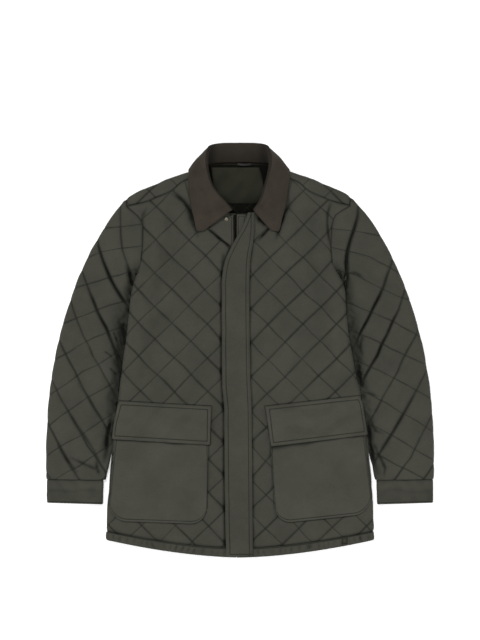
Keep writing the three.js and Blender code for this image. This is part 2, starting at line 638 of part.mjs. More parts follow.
// ---- Neck lining, hanger loop and hem tab --------------------------------------------------
const LINING_ROWS = [693, 712, 725, 737];
function makeNeckLining() {
  const shares = MIDDLE_COLUMNS.slice(0, FOLD_COLUMN + 1);
  const columns = [
    ...[...shares].reverse().map((column) => ({ side: -1, column })),
    { side: 1, column: { out: 0 } },
    ...shares.map((column) => ({ side: 1, column })),
  ];
  const grid = LINING_ROWS.map((row) => columns.map(({ side, column }) => {
    const point = bodyPoint(side, column, row, -1);
    point.z += QUILT_WALL + LYING + THIN_WALL;
    return point;
  }));
  addPiece('neck_lining', clothWall(grid, THIN_WALL, 1), COLOURS.lining);
}

function makeHangerLoop() {
  const middle = 9;
  const rows = [
    { x: -11, up: 825.6, high: 11.4 }, { x: -9.5, up: 821.4, high: 12.2 }, { x: -5, up: 819, high: 12.6 },
    { x: 5, up: 819, high: 12.6 }, { x: 9.5, up: 821.4, high: 12.2 }, { x: 11, up: 825.6, high: 11.4 },
  ];
  const grid = rows.map(({ x, up, high }) => {
    const way = new THREE.Vector2(x, up - 834).normalize();
    return [1.7, -1.7].map((half) => (
      new THREE.Vector3(middle + x + way.x * half, up + way.y * half, high + THIN_WALL)
    ));
  });
  addPiece('hanger_loop', clothWall(grid, THIN_WALL, -1), COLOURS.smooth);
}

const HEM_TAB = { from: 213, to: 225.5, low: 2.5, height: 15 };
function makeHemTab() {
  const base = hemCurve(HEM_TAB.to) + HEM_TAB.low;
  const high = BODY_THICK + LYING;
  const rightEdge = [[HEM_TAB.from, base], [HEM_TAB.from, base + HEM_TAB.height]];
  const leftEdge = [[HEM_TAB.to, base], [HEM_TAB.to, base + HEM_TAB.height]];
  makeStrip('hem_tab', rightEdge, leftEdge, high, THIN_WALL, COLOURS.lining);
}

makeBack();
for (const side of [-1, 1]) {
  makeFront(side);
  makeSleeve(side);
  makePocket(side);
}
makeCollar();
makePlacket();
makeFly();
makeNeckLining();
makeHangerLoop();
makeHemTab();
jacket.position.y = -(HEM_LOW + COLLAR_TOP) / 2;

export default jacket;
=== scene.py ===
import math

import bpy
import numpy as np
from bpy.props import FloatProperty, FloatVectorProperty, PointerProperty
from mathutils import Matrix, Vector


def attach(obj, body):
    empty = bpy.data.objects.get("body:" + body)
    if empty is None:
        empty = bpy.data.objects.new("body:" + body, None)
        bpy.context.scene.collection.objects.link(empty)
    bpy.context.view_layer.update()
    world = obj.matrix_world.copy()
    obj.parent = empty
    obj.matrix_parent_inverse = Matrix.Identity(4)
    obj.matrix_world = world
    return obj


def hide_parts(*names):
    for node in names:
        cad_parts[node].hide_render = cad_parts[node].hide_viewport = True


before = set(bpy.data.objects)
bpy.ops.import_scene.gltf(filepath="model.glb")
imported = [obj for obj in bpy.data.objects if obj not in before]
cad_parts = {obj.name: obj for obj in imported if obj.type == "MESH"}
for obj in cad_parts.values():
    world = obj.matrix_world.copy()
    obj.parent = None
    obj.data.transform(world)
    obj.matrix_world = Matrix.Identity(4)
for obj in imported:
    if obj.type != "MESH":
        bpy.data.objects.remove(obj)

bl_info = {
    "name": "Quilted field jacket, laid flat",
    "version": (1, 0, 0),
    "blender": (4, 5, 0),
    "location": "3D View > Sidebar > Jacket",
    "description": "Makes each sewn piece of a diamond-quilted field jacket, and its table",
    "category": "Object",
}

# Sizes are in millimetres. "out" is the distance from the middle of the jacket to either side,
# "up" the distance from the hem, and +x is the wearer's left.
MIDDLE_UP = 436.5   # this far up the jacket is the middle of the frame


def table(names, *rows):
    """Named columns of a table of numbers."""
    return dict(zip(names.split(), np.array(rows, float).T))


# Half width of the body: the side edge up to the armpit at 598, then the armhole seam
EDGE = table(
    "up right left",
    (39, 281.4, 281.4), (115, 277.5, 278.5), (171, 273, 275), (227, 269, 270), (285, 262.5, 261.5),
    (345, 254, 252.5), (388, 248, 241.5), (430, 242.5, 234.5), (480, 236, 226), (530, 230.5, 221.5),
    (570, 224, 217), (598, 214, 203.5), (606, 212, 200), (626, 208.5, 193.5), (659, 204.5, 191),
    (693, 204, 193), (712, 212, 199), (725, 225, 213), (738, 238, 231),
)
# The shoulder fold, and the top edge of the fronts: the neckline, then the shoulder seam
TOP = table(
    "out fold front",
    (0, 833, 722), (20, 833, 724), (40, 833, 733), (57, 831, 747), (68, 826, 772), (80, 820, 800),
    (117, 806, 791), (146, 797, 769), (176, 784, 756), (202, 773, 746), (238, 753, 738),
)
# Sleeve sections: the outer edge, the inner edge's height and how far it is beside the body, how
# thick each edge is, how high the inner one is carried, and how far the section bows
SLEEVE = table(
    "out up in_up beside thick in_thick in_high bow",
    (276, 706, 585, -4, 15, 14, 4, 12), (307, 655, 560, -10, 16, 12, 0, 4),
    (335.5, 596, 528, -13, 17, 12, 0, 0), (358, 535, 484, -14, 17, 12, 0, 0),
    (376, 475, 438, -12, 17, 12, 0, 0), (388.5, 418, 398, -7, 16, 12, 0, 0),
    (398, 360, 345, -1.5, 16, 12, 0, 0), (403.5, 300, 292, -1.5, 15, 12, 0, 0),
    (406.5, 235, 229, -1, 15, 12, 0, 0), (407, 190, 188, 4.5, 15, 14, 0, 0),
    (406.5, 166, 164.5, 7, 14, 14, 0, 0),
)
# Cuff sections, at the sleeve and at the open end
CUFF = table("out up in_out in_up", (405, 165.7, 286, 164.3), (405, 116.7, 287.5, 113.2))
# Collar, from the back of the neck to its front end: neck seam, fold, leaf, and leaf edge. The
# fold turns from lying inward over the stand (180) to lying outward (0).
COLLAR = table(
    "seam_out seam_up seam_high fold_out fold_up fold_high turn "
    "leaf_out leaf_up leaf_high edge_out edge_up edge_high",
    (0, 831, 11.5, 0, 871, 17, 180, 0, 842, 0.4, 0, 805, 0.1),
    (24, 831, 11.5, 26, 871, 17, 180, 34, 841, 0.4, 40, 804, 0.1),
    (46, 830, 12.5, 52, 868.5, 19, 175, 72, 840, 0.5, 78, 802, 0.1),
    (60, 829, 17, 63, 862, 26, 140, 84, 843, 4.5, 98, 819, 0.4),
    (66, 824, 22.4, 65, 850, 33, 95, 88, 835, 21, 107, 812, 14),
    (74, 806, 22.4, 64.5, 832, 36, 50, 87, 819, 25, 106.5, 796, 23.5),
    (74, 786, 22.2, 60, 806, 36, 10, 83, 797, 26, 105, 779, 22.4),
    (66, 766, 21, 54, 784, 35, 0, 79, 774, 25.5, 103, 761, 22),
    (54, 750, 20, 44, 762, 32, 0, 72, 751, 25, 99.5, 740, 21.4),
    (41, 739, 19.6, 33, 746, 29, 0, 62, 731, 24, 93, 714, 21),
    (33.5, 734, 19.5, 26.5, 738, 28, 0, 55, 718, 23.6, 84, 685, 21),
    (29, 730, 19.4, 21.5, 731, 27, 0, 43, 711, 23.2, 70, 687, 21),
)
# The collar doesn't lie quite even: how far each section's fold and leaf edge lean to the left
COLLAR_LEAN = {
    "fold": (0, 0, -2, -3, -3, -3, -3.5, -3, 1, 5, 5.5, 6),
    "edge": (0, 0, -1, -2, -2, -2, -3, -3, -3.5, -4, -4.5, -5),
}
# Pocket corners: inner top, outer top, outer low and inner low, as (out, up)
POCKETS = {
    "right": {
        "flap": ((60, 319), (252, 330), (266.5, 250), (63, 238)),
        "bag": ((65, 303), (256, 313), (272, 79), (70, 72)),
    },
    "left": {
        "flap": ((53, 319), (250, 341), (266.5, 259), (65, 235)),
        "bag": ((60, 303), (254, 324), (273, 94), (75, 73)),
    },
}
# The placket's free edge, turned back at the top, and its sewn edge
PLACKET = table(
    "up free seam",
    (4, -29, 27), (80, -30.9, 26.2), (206, -32.5, 25.2), (300, -33, 24.4), (395, -38, 21),
    (567, -38.2, 19.5), (601, -36, 20), (626, -30.5, 21.5), (643, -23, 24), (659, -15, 27),
    (676, -5.5, 29), (693, 4.2, 30.5), (725, 16.8, 30.5),
)

# Walls of cloth: quilted, plain, tape and corduroy, the sleeve's and the cuff's
QUILT_WALL, SMOOTH_WALL, THIN_WALL, CORD_WALL = 5.6, 2.4, 1.4, 2.6
SLEEVE_WALL, CUFF_WALL = 5.4, 4.6
# Gaps at a plain seam, at the armhole's seam and over its cap (tucked in, so less than nothing),
# and under a piece that lies on another
SEAM, ARM_SEAM, CAP_SEAM, LYING = 0.3, -0.5, -0.3, 0.5
# The front and the back roll toward each other and almost meet at the side seam
BODY_THICK, SIDE_GAP = 15.0, 0.8
ROLL = BODY_THICK / 2
SEAM_TURN = math.pi / 2 - SIDE_GAP / 2 / ROLL
HEM_BAND, HEM_LOW = 20.0, 2.0
# Up the side: the armpit, where the armhole is open, where the sleeve's cap starts, the shoulder
ARMPIT, ARMHOLE_START, CAP_START, SHOULDER_POINT = 598.0, 606.0, 725.0, 738.0
# How much less the panels turn at the armpit, and how far the shoulder fold bulges at the cap
PIT_EASE, CAP_BULGE = 0.07, 4.0
# How far the sleeve lifts the body's side, over what width, and the collar the back of the neck
SLEEVE_LIFT, LIFTED_WIDTH, NECK_LIFT = 13.0, 75.0, 3.4
# How low the sleeve's top may sink, its width and length, and the cuff's
SLEEVE_LOWEST, SLEEVE_WIDE, SLEEVE_LONG = 6.4, 138, 555
CUFF_THICK, CUFF_LONG = 12.6, 50.0
# Radius of the collar's fold, and the least height of its leaf
COLLAR_FOLD, LEAF_CLEAR = 4.0, 0.1
# Radius of the low corners, and how near to the side edge a patch comes
POCKET_ROUND, FLAP_ROUND, PATCH_LIMIT = 34.0, 3.5, 2.2
# How high a flap lies over its pocket
FLAP_HEIGHT = LYING + SMOOTH_WALL + LYING + SEAM
# The zip is this far to the right of the middle; the placket stands this high over it, and the
# fly ends here
ZIP_OUT, FLY_HIGH, FLY_TOP = 8.0, 2.7, 720.0
# The zip's teeth that show: how many, how far apart, where the first is, and a tooth's size
TEETH, TEETH_APART, TEETH_FROM, TOOTH = 34, 2, 652, (2.6, 1.3, 1.1)
# The stud's place, and its turned profile as (radius, height)
STUD_X, STUD_UP = -28.5, 711
STUD_PROFILE = (
    (0, 1.7), (1.4, 1.65), (2.1, 1.4), (2.4, 0.8), (2.7, 0.8), (3.0, 1.2), (3.3, 1.3), (3.6, 1.2),
    (3.8, 0.8), (3.8, 0.2), (3.6, 0), (0, 0),
)
# Topstitching, this far in from the edge: hem and cuff bands, pocket bag, and the placket's free,
# sewn and low edges
HEM_STITCH, CUFF_STITCH, BAG_STITCH = 2.6, 3.2, 5.0
FREE_STITCH, SEWN_STITCH, END_STITCH = 8.2, 7.2, 5.0
WALE = 1.8            # width of one wale of the corduroy
ON_TABLE = 0.05       # nothing goes lower than this
NO_LINE = 0.4         # a stitch line number that is far from every line

# The quilting's stitch lines. On the body they run at 45 degrees: "deep" lines fall toward the
# side and pull the cloth in more. Each number is a line's x + up or up - x.
SQUARE = 49.5
BODY_LINES = {
    "right": {"deep": (352, 421.5, 490, 561.5, 631), "light": (559, 636, 707.5, 775, 845, 914)},
    "left": {"deep": (358, 430, 501, 567, 636), "light": (475, 548, 622, 694, 760, 834)},
    "back": {"deep": (70, 140, 210, 280), "light": (70, 140, 210, 280)},
}
# On the sleeves they run along it, (up, out) pairs, and across it, (out, up) pairs
SLEEVE_LINES = {
    "right": {
        "along": (
            ((584, 223), (605, 233), (622, 239), (647, 247), (678, 250), (741, 251)),
            ((519, 229), (533, 237), (550, 250), (569, 262), (588, 272), (622, 286), (647, 294),
             (662, 298)),
            ((407, 250), (433, 260), (454, 269), (485, 281), (508, 294), (527, 302), (559, 315),
             (594, 328)),
            ((353, 267), (378, 281), (405, 296), (422, 307), (447, 317), (466, 328), (496, 340),
             (525, 350)),
            ((281, 284), (304, 298), (332, 315), (363, 332), (393, 346), (420, 361), (447, 374)),
            ((197, 292), (216, 304), (235, 319), (260, 332), (286, 346), (311, 361), (332, 374),
             (357, 386)),
            ((170, 340), (193, 355), (212, 365), (233, 376), (248, 384)),
        ),
        "across": (
            ((206, 701), (231, 697), (273, 693), (294, 691)),
            ((206, 655), (256, 649), (290, 643), (315, 632)),
            ((227, 603), (252, 594), (271, 590), (294, 582), (319, 575), (340, 569)),
            ((231, 542), (252, 536), (273, 531), (294, 523), (315, 514), (336, 506), (361, 496)),
            ((235, 489), (252, 483), (271, 477), (286, 470), (304, 464), (319, 456), (336, 447),
             (357, 433), (382, 420)),
            ((252, 435), (273, 422), (300, 405), (328, 393), (342, 382), (365, 365), (378, 357),
             (399, 342)),
            ((256, 374), (277, 361), (298, 349), (319, 338), (336, 326), (357, 311), (374, 300),
             (386, 290), (407, 273)),
            ((269, 302), (288, 290), (304, 279), (319, 269), (336, 256), (361, 244), (376, 235),
             (388, 227), (407, 214)),
        ),
    },
    "left": {
        "along": (
            ((542, 220), (563, 218), (584, 224), (609, 225), (630, 223), (651, 227), (672, 231),
             (693, 239), (714, 246), (735, 248)),
            ((437, 235), (452, 242), (477, 254), (500, 267), (525, 279), (550, 292), (573, 302),
             (594, 309)),
            ((359, 252), (382, 262), (405, 275), (426, 288), (447, 296), (472, 309), (500, 321),
             (521, 332), (548, 340)),
            ((290, 273), (315, 288), (340, 300), (365, 315), (391, 330), (416, 340), (437, 351),
             (458, 363)),
            ((210, 286), (223, 294), (244, 307), (265, 321), (290, 334), (315, 349), (340, 363),
             (357, 372), (384, 386)),
            ((176, 332), (197, 346), (210, 357), (233, 368), (254, 378), (273, 388)),
        ),
        "across": (
            ((210, 689), (233, 687), (252, 684), (273, 680), (304, 674)),
            ((206, 649), (231, 643), (252, 638), (273, 632), (286, 624), (311, 611)),
            ((206, 601), (231, 598), (246, 594), (265, 582), (290, 569), (311, 559), (330, 550),
             (349, 544)),
            ((210, 540), (235, 533), (256, 523), (281, 514), (304, 504), (323, 496), (340, 485),
             (365, 472)),
            ((220, 483), (256, 468), (273, 462), (290, 454), (304, 447), (317, 439), (332, 433),
             (346, 426), (378, 412)),
            ((235, 416), (256, 410), (273, 401), (290, 395), (311, 384), (330, 374), (351, 363),
             (388, 342)),
            ((254, 351), (273, 344), (290, 334), (307, 326), (323, 315), (340, 304), (357, 296),
             (374, 286), (399, 269)),
            ((269, 281), (290, 273), (315, 260), (336, 248), (357, 235), (365, 229), (399, 210)),
            ((277, 223), (304, 210), (326, 197), (353, 185), (399, 160)),
        ),
    },
}
# Folds and dents that the sewing doesn't make: the line each follows, as (out, up), its depth,
# its half width, and how much shade is painted in it, from 0 to 1
SLEEVE_CREASES = {
    "right": (
        (((300, 668), (294, 647), (286, 622), (272, 588), (262, 569), (250, 550), (237, 533),
          (228, 516)), 5.0, 2.1, 0.85),
        (((286, 622), (272, 588), (262, 569), (250, 550), (237, 533), (226, 514)), 2.0, 3.6, 0.5),
        (((318, 566), (308, 542), (297, 514), (288, 497), (280, 483), (269, 454), (260, 433),
          (250, 407)), 3.6, 2.2, 0.8),
        (((237, 612), (232, 598), (229, 582), (222, 562)), 3.0, 3.4, 1.0),
        (((252, 497), (246, 478), (242, 458)), 2.6, 2.6, 0.9),
        (((266, 478), (258, 458), (252, 440)), 2.4, 2.2, 0.75),
        (((262, 440), (252, 420), (247, 402)), 2.6, 2.6, 0.85),
        (((250, 430), (246, 405), (250, 378), (256, 352)), 3.0, 3.0, 0.9),
        (((264, 418), (274, 428), (286, 436)), 1.6, 2.0, 0.5),
        (((274, 402), (262, 388), (252, 376)), 2.2, 2.2, 0.7),
        (((258, 520), (250, 470), (248, 430), (252, 380), (262, 330),
          (270, 290)), 1.4, 15.0, 0.62),
        (((268, 300), (274, 275), (279, 250), (280, 225), (284, 205)), 2.0, 5.0, 0.85),
        (((246, 500), (243, 470), (242, 440)), 1.2, 5.0, 1.0),
        (((247, 410), (250, 370), (254, 340)), 1.2, 5.0, 0.9),
        (((262, 300), (268, 282), (276, 268), (280, 250)), 2.4, 2.6, 0.6),
        (((360, 308), (345, 284), (330, 262), (310, 232), (291, 197)), 2.4, 2.6, 0.5),
        (((383, 245), (375, 228), (364, 210), (342, 180)), 2.2, 2.4, 0.55),
        (((338, 366), (317, 337), (300, 307), (278, 277)), 1.4, 2.4, 0.35),
        (((356, 212), (330, 200), (308, 190), (291, 184)), 1.6, 2.6, 0.5),
        (((300, 204), (300, 190), (294, 176)), 1.4, 3.0, 0.6),
    ),
    "left": (
        (((248, 740), (246, 716), (240, 693), (231, 667), (225, 645), (222, 620), (224, 594),
          (222, 564), (217, 545)), 4.5, 2.3, 1.0),
        (((223, 604), (222, 586), (220, 566), (216, 548)), 2.0, 4.6, 1.0),
        (((206, 604), (211, 594), (216, 582)), 2.4, 3.4, 0.9),
        (((225, 646), (223, 620), (224, 598)), 1.0, 3.2, 0.8),
        (((309, 596), (302, 573), (292, 550), (279, 525), (267, 500), (254, 477), (242, 452),
          (234, 434)), 4.2, 2.1, 0.85),
        (((332, 521), (321, 500), (309, 472), (296, 447), (288, 426), (275, 405), (262, 382),
          (252, 359)), 3.6, 2.1, 0.85),
        (((236, 520), (240, 470), (244, 420), (252, 370), (262, 330)), 1.4, 12.0, 0.45),
        (((244, 412), (250, 385), (258, 352)), 1.4, 6.5, 0.9),
        (((266, 305), (270, 272), (273, 240), (279, 208), (288, 180)), 1.8, 5.0, 0.95),
        (((258, 470), (252, 450), (254, 428)), 2.2, 3.0, 0.6),
        (((244, 424), (250, 402), (254, 380)), 2.2, 2.6, 0.7),
        (((262, 350), (274, 345), (288, 340)), 1.8, 2.6, 0.5),
        (((269, 300), (276, 280), (284, 268), (300, 262)), 1.8, 2.8, 0.5),
        (((368, 349), (352, 320), (334, 288), (312, 252), (291, 218)), 2.6, 2.4, 0.6),
        (((286, 224), (296, 208), (304, 190), (302, 174)), 2.0, 2.6, 0.6),
        (((276, 250), (288, 222), (296, 206)), 1.6, 2.4, 0.5),
        (((230, 600), (244, 598), (258, 590)), 1.8, 1.8, 0.5),
    ),
}
FRONT_CREASES = {
    "right": (
        (((70, 693), (56, 682), (44, 671), (30, 661), (18, 651)), 3.6, 1.8, 1.0),
        (((140, 765), (119, 749), (104, 729), (95, 706), (89, 676)), 2.4, 3.2, 0.9),
        (((110, 734), (100, 712), (93, 690)), 1.2, 6.0, 0.6),
        (((33, 640), (36, 625), (37, 600)), 1.2, 3.0, 0.4),
        (((196, 735), (206, 712), (202, 696)), 1.6, 3.0, 0.4),
        (((146, 735), (152, 700), (148, 676)), 0.8, 9.0, 0.1),
    ),
    "left": (
        (((193, 757), (184, 725), (183, 705), (185, 680), (190, 655), (193, 640)), 2.0, 2.2, 0.6),
        (((70, 702), (55, 685), (38, 667)), 3.0, 1.9, 0.9),
        (((34, 722), (42, 711), (50, 705), (64, 696)), 3.0, 4.6, 1.0),
        (((105, 744), (93, 722), (85, 700), (77, 672)), 2.4, 3.2, 0.9),
        (((136, 740), (150, 706), (152, 680)), 0.8, 9.0, 0.1),
    ),
}


def linear_colour(code):
    """Scene-linear red, green and blue of an sRGB hex colour."""
    parts = [int(code[i : i + 2], 16) / 255 for i in (1, 3, 5)]
    return tuple(p / 12.92 if p <= 0.04045 else ((p + 0.055) / 1.055) ** 2.4 for p in parts)


class JacketSizes(bpy.types.PropertyGroup):
    """Lengths of the quilted cloth and of the flaps' topstitching"""

    step: FloatProperty(
        name="Mesh spacing", description="Distance between the points of the quilted cloth",
        default=0.0021, min=0.001, max=0.01, unit="LENGTH",
    )
    puff: FloatProperty(
        name="Puff", description="Height of a quilted square over its stitch lines",
        default=0.0042, min=0, max=0.01, unit="LENGTH",
    )
    pull: FloatProperty(
        name="Pull", description="How far from a stitch line the cloth is pulled down",
        default=0.0032, min=0.001, max=0.02, unit="LENGTH",
    )
    pucker: FloatProperty(
        name="Pucker", description="Height of the small puckers beside the stitching",
        default=0.00035, min=0, max=0.002, unit="LENGTH",
    )
    crumple: FloatProperty(
        name="Crumple", description="Height of the slow waves all over the quilted cloth",
        default=0.0008, min=0, max=0.005, unit="LENGTH",
    )
    border: FloatProperty(
        name="Topstitch inset", description="Distance from a flap's edge to its topstitching",
        default=0.0075, min=0.002, max=0.02, unit="LENGTH",
    )


class JacketColours(bpy.types.PropertyGroup):
    """Colours of the cloths, the thread and the stud"""

    shell: FloatVectorProperty(
        name="Shell", description="Dark olive cloth of the whole outside",
        subtype="COLOR", size=3, min=0, max=1, default=linear_colour("#3b3b34"),
    )
    thread: FloatVectorProperty(
        name="Thread", description="Sewing thread, a little darker than the shell",
        subtype="COLOR", size=3, min=0, max=1, default=linear_colour("#1f1f19"),
    )
    corduroy: FloatVectorProperty(
        name="Corduroy", description="Brown cord of the collar",
        subtype="COLOR", size=3, min=0, max=1, default=linear_colour("#39332b"),
    )
    lining: FloatVectorProperty(
        name="Lining", description="Smooth lining inside the neck",
        subtype="COLOR", size=3, min=0, max=1, default=linear_colour("#25251d"),
    )
    metal: FloatVectorProperty(
        name="Metal", description="Aged brass of the stud",
        subtype="COLOR", size=3, min=0, max=1, default=linear_colour("#7d786b"),
    )
    # Painted shadow: the body's inner faces are near black, standing in for the deep shade inside
    # it
    inside: FloatVectorProperty(
        name="Inside", description="Black lining of the body, seen deep in the neck",
        subtype="COLOR", size=3, min=0, max=1, default=linear_colour("#0c0c0a"),
    )


def sizes():
    """The sizes that can be set, in millimetres."""
    group = bpy.context.scene.jacket_sizes
    return {name: getattr(group, name) * 1000 for name in JacketSizes.__annotations__}


# ---- Curves through tables -----------------------------------------------------------------
def between(points, grade, step, i, t):
    """The smooth curve from point i to the next, with a given slope at each."""
    return (
        points[i] * (1 + 2 * t) * (1 - t) ** 2 + points[i + 1] * t * t * (3 - 2 * t)
        + step[i] * (grade[i] * t * (1 - t) ** 2 + grade[i + 1] * t * t * (t - 1))
    )


def smooth(keys, values, at):
    """Smooth curve through a table's points that never swings past them."""
    keys, values, at = (np.asarray(v, float) for v in (keys, values, at))
    step = np.diff(keys)
    slope = np.diff(values) / step
    same_way = slope[:-1] * slope[1:] > 0
    low, high = np.where(same_way, slope[:-1], 1), np.where(same_way, slope[1:], 1)
    first, second = 2 * step[1:] + step[:-1], step[1:] + 2 * step[:-1]
    inner = np.where(same_way, (first + second) / (first / low + second / high), 0)
    grade = np.concatenate([slope[:1], inner, slope[-1:]])
    i = np.clip(np.searchsorted(keys, at) - 1, 0, len(keys) - 2)
    return between(values, grade, step, i, np.clip((at - keys[i]) / step[i], 0, 1))


def ease(at, start, end):
    """0 before start, 1 after end, and smooth between them."""
    t = np.clip((at - start) / (end - start), 0, 1)
    return t * t * (3 - 2 * t)


def mound(at, width):
    """1 at 0, and falling off to both sides."""
    return np.exp(-((at / width) ** 2))


def fade(at, width):
    """1 at 0, and fading away from it, as the dip beside a seam does."""
    return np.exp(-at / width)


def nearest(*distances):
    """The least of several distances at each place."""
    least = distances[0]
    for other in distances[1:]:
        least = np.minimum(least, other)
    return least


def run_of(points, axis=0):
    """Length along rows of points, from 0 at the first."""
    steps = np.linalg.norm(np.diff(points, axis=axis), axis=-1)
    return np.insert(np.cumsum(steps, axis), 0, 0, axis)


def spread(start, end, step, edge=(0.5, 1.2, 2.0)):
    """Points from start to end about a step apart, crowded at both ends to round the edges."""
    length = abs(end - start)
    near = [e for e in edge if e < length / 4]
    last = near[-1] if near else 0
    inner = np.linspace(last, length - last, max(2, round((length - 2 * last) / step) + 1))
    far = [length - e for e in reversed(near[:-1])]
    places = np.unique(np.round(np.concatenate([[0], near[:-1], inner, far, [length]]), 6))
    return start + (end - start) * places / length


def waves(x, y, length, seed):
    """Uneven waves from -1 to 1 over a plane, about a length apart.

    Each use has its own seed, so that no two pieces show the same pattern."""
    random = np.random.default_rng(seed)
    total = np.zeros(np.broadcast(x, y).shape)
    bend_x = np.sin(y / length * 1.7 + seed) * length * 0.35
    bend_y = np.sin(x / length * 1.3 - seed) * length * 0.35
    for _ in range(7):
        turn, phase = random.uniform(0, 2 * math.pi, 2)
        rate = 2 * math.pi / length * random.uniform(0.6, 1.5)
        way = (x + bend_x) * math.cos(turn) + (y + bend_y) * math.sin(turn)
        total += np.sin(way * rate + phase)
    return total / 3.2


def trough(x, y, line, depth, width):
    """A soft fold along a line, with a low ridge on each side, and how far a place is in it."""
    points = np.array(line, float)
    ends = run_of(points)
    ends = ends / ends[-1]
    away = np.full(x.shape, 1e9)
    along = np.zeros(x.shape)
    for i in range(len(points) - 1):
        (from_x, from_y), way = points[i], points[i + 1] - points[i]
        share = ((x - from_x) * way[0] + (y - from_y) * way[1]) / (way @ way)
        share = np.clip(share, 0, 1)
        here = np.hypot(x - from_x - share * way[0], y - from_y - share * way[1])
        closer = here < away
        away = np.where(closer, here, away)
        along = np.where(closer, ends[i] + share * (ends[i + 1] - ends[i]), along)
    # It fades out at both ends, and its depth varies a little along it
    strength = np.sin(math.pi * np.clip(along, 0.03, 0.97)) ** 0.6
    strength = strength * (1 + 0.18 * np.sin(along * 17 + depth * 5))
    core = strength * mound(away, width)
    shoulder = strength * mound(away / width, 2.4)
    ridge = strength * mound(away - 2.4 * width, 0.9 * width)
    height = depth * (0.25 * ridge - 0.7 * core - 0.3 * shoulder)
    return height, np.minimum(1.25 * core, 1) + 0.2 * shoulder


def folds(creases, side, x, up):
    """The height of a piece's own folds, and the shade painted in them."""
    height, shade = np.zeros(x.shape), np.zeros(x.shape)
    for line, depth, width, dark in creases:
        fold, inside = trough(x, up, [(side * out, row) for out, row in line], depth, width)
        height += fold
        shade = np.maximum(shade, dark * inside)
    return height, np.clip(shade, 0, 1)


def line_number(value, lines):
    """Where a place lies among a row of lines: whole numbers are on the lines."""
    lines = np.array(lines, float)
    step = (lines[-1] - lines[0]) / (len(lines) - 1)
    inside = np.interp(value, lines, np.arange(len(lines)))
    below = np.minimum(value - lines[0], 0) / step
    above = np.maximum(value - lines[-1], 0) / step
    return inside + below + above


def curve_number(key, value, curves, step):
    """The same for curved lines: each gives its value at a key, and runs on straight."""
    stack = []
    for curve in curves:
        keys, values = np.array(curve, float).T
        start = (values[2] - values[0]) / (keys[2] - keys[0])
        end = (values[-1] - values[-3]) / (keys[-1] - keys[-3])
        before, after = np.minimum(key - keys[0], 0) * start, np.maximum(key - keys[-1], 0) * end
        stack.append(np.interp(key, keys, values) + before + after)
    stack = np.array(stack)
    if stack[0].mean() > stack[-1].mean():
        stack, value = -stack, -value
    last = len(stack) - 1
    number = np.where(value < stack[0], (value - stack[0]) / step, 0.0)
    for i in range(last):
        gap = np.maximum(stack[i + 1] - stack[i], 8)
        here = (value >= stack[i]) & (value < stack[i + 1])
        number = np.where(here, i + (value - stack[i]) / gap, number)
    return np.where(value >= stack[last], last + (value - stack[last]) / step, number)


def from_line(number):
    """Millimetres from the nearest stitch line."""
    return np.abs(number - np.round(number)) * SQUARE


def pillow(deep, light, x, y, size, seed):
    """Height of quilted cloth from its two line numbers: 0 is the middle of a square."""
    from_deep, from_light = from_line(deep), from_line(light)
    pull, puff = size["pull"], size["puff"]
    uneven = 1 + 0.22 * waves(x, y, 90, seed)
    tight = 1 + 0.3 * waves(x, y, 64, seed + 5)
    rise = (1 - tight * fade(from_deep, pull)) * (1 - 0.62 * fade(from_light, pull * 0.9))
    broad = (1 - fade(from_deep / pull, 3.2)) * (1 - 0.7 * fade(from_light / pull, 3.2))
    beside = fade(from_deep, 7) + 0.8 * fade(from_light, 7)
    small = np.sin(light * SQUARE / 1.9 + 2 * waves(x, y, 55, seed + 1)) * fade(from_deep, 7)
    small += np.sin(deep * SQUARE / 1.7 + 2 * waves(x, y, 50, seed + 2)) * fade(from_light, 7)
    small *= 0.5 + 0.5 * waves(x, y, 70, seed + 3)
    height = puff * uneven * (0.45 * rise + 0.55 * broad) - puff
    slow = size["crumple"] * waves(x, y, 42, seed + 4) * broad
    return height + size["pucker"] * small * beside + slow


# ---- Meshes --------------------------------------------------------------------------------
def normals(grid, face, wrap=False):
    """Outward directions of a grid of points."""
    along = np.gradient(grid, axis=0)
    if wrap:
        across = (np.roll(grid, -1, 1) - np.roll(grid, 1, 1)) / 2
    else:
        across = np.gradient(grid, axis=1)
    out = np.cross(across, along) * face
    return out / np.maximum(np.linalg.norm(out, axis=2, keepdims=True), 1e-9)


def padded(grid, outward, height, wall, least=1.0):
    """Both sides of padded cloth: its grid moved out by a height, and its wall inside that.

    Where the height is low the wall gives way, down to the least thickness."""
    height = height[..., None]
    return grid + outward * height, grid - outward * np.maximum(wall, least - height)


def stitch_marks(across, along, one_way=0.0):
    """Stitch line numbers for the mesh, and 1 where only lines of the first kind are sewn."""
    return np.stack([across, along, np.full_like(across, one_way)], -1)


def topstitch_marks(inside, along):
    """Stitch line numbers of a topstitched border, that far inside its stitch line."""
    return stitch_marks(np.clip(inside / SQUARE, -0.45, 0.45), along / SQUARE, 1.0)


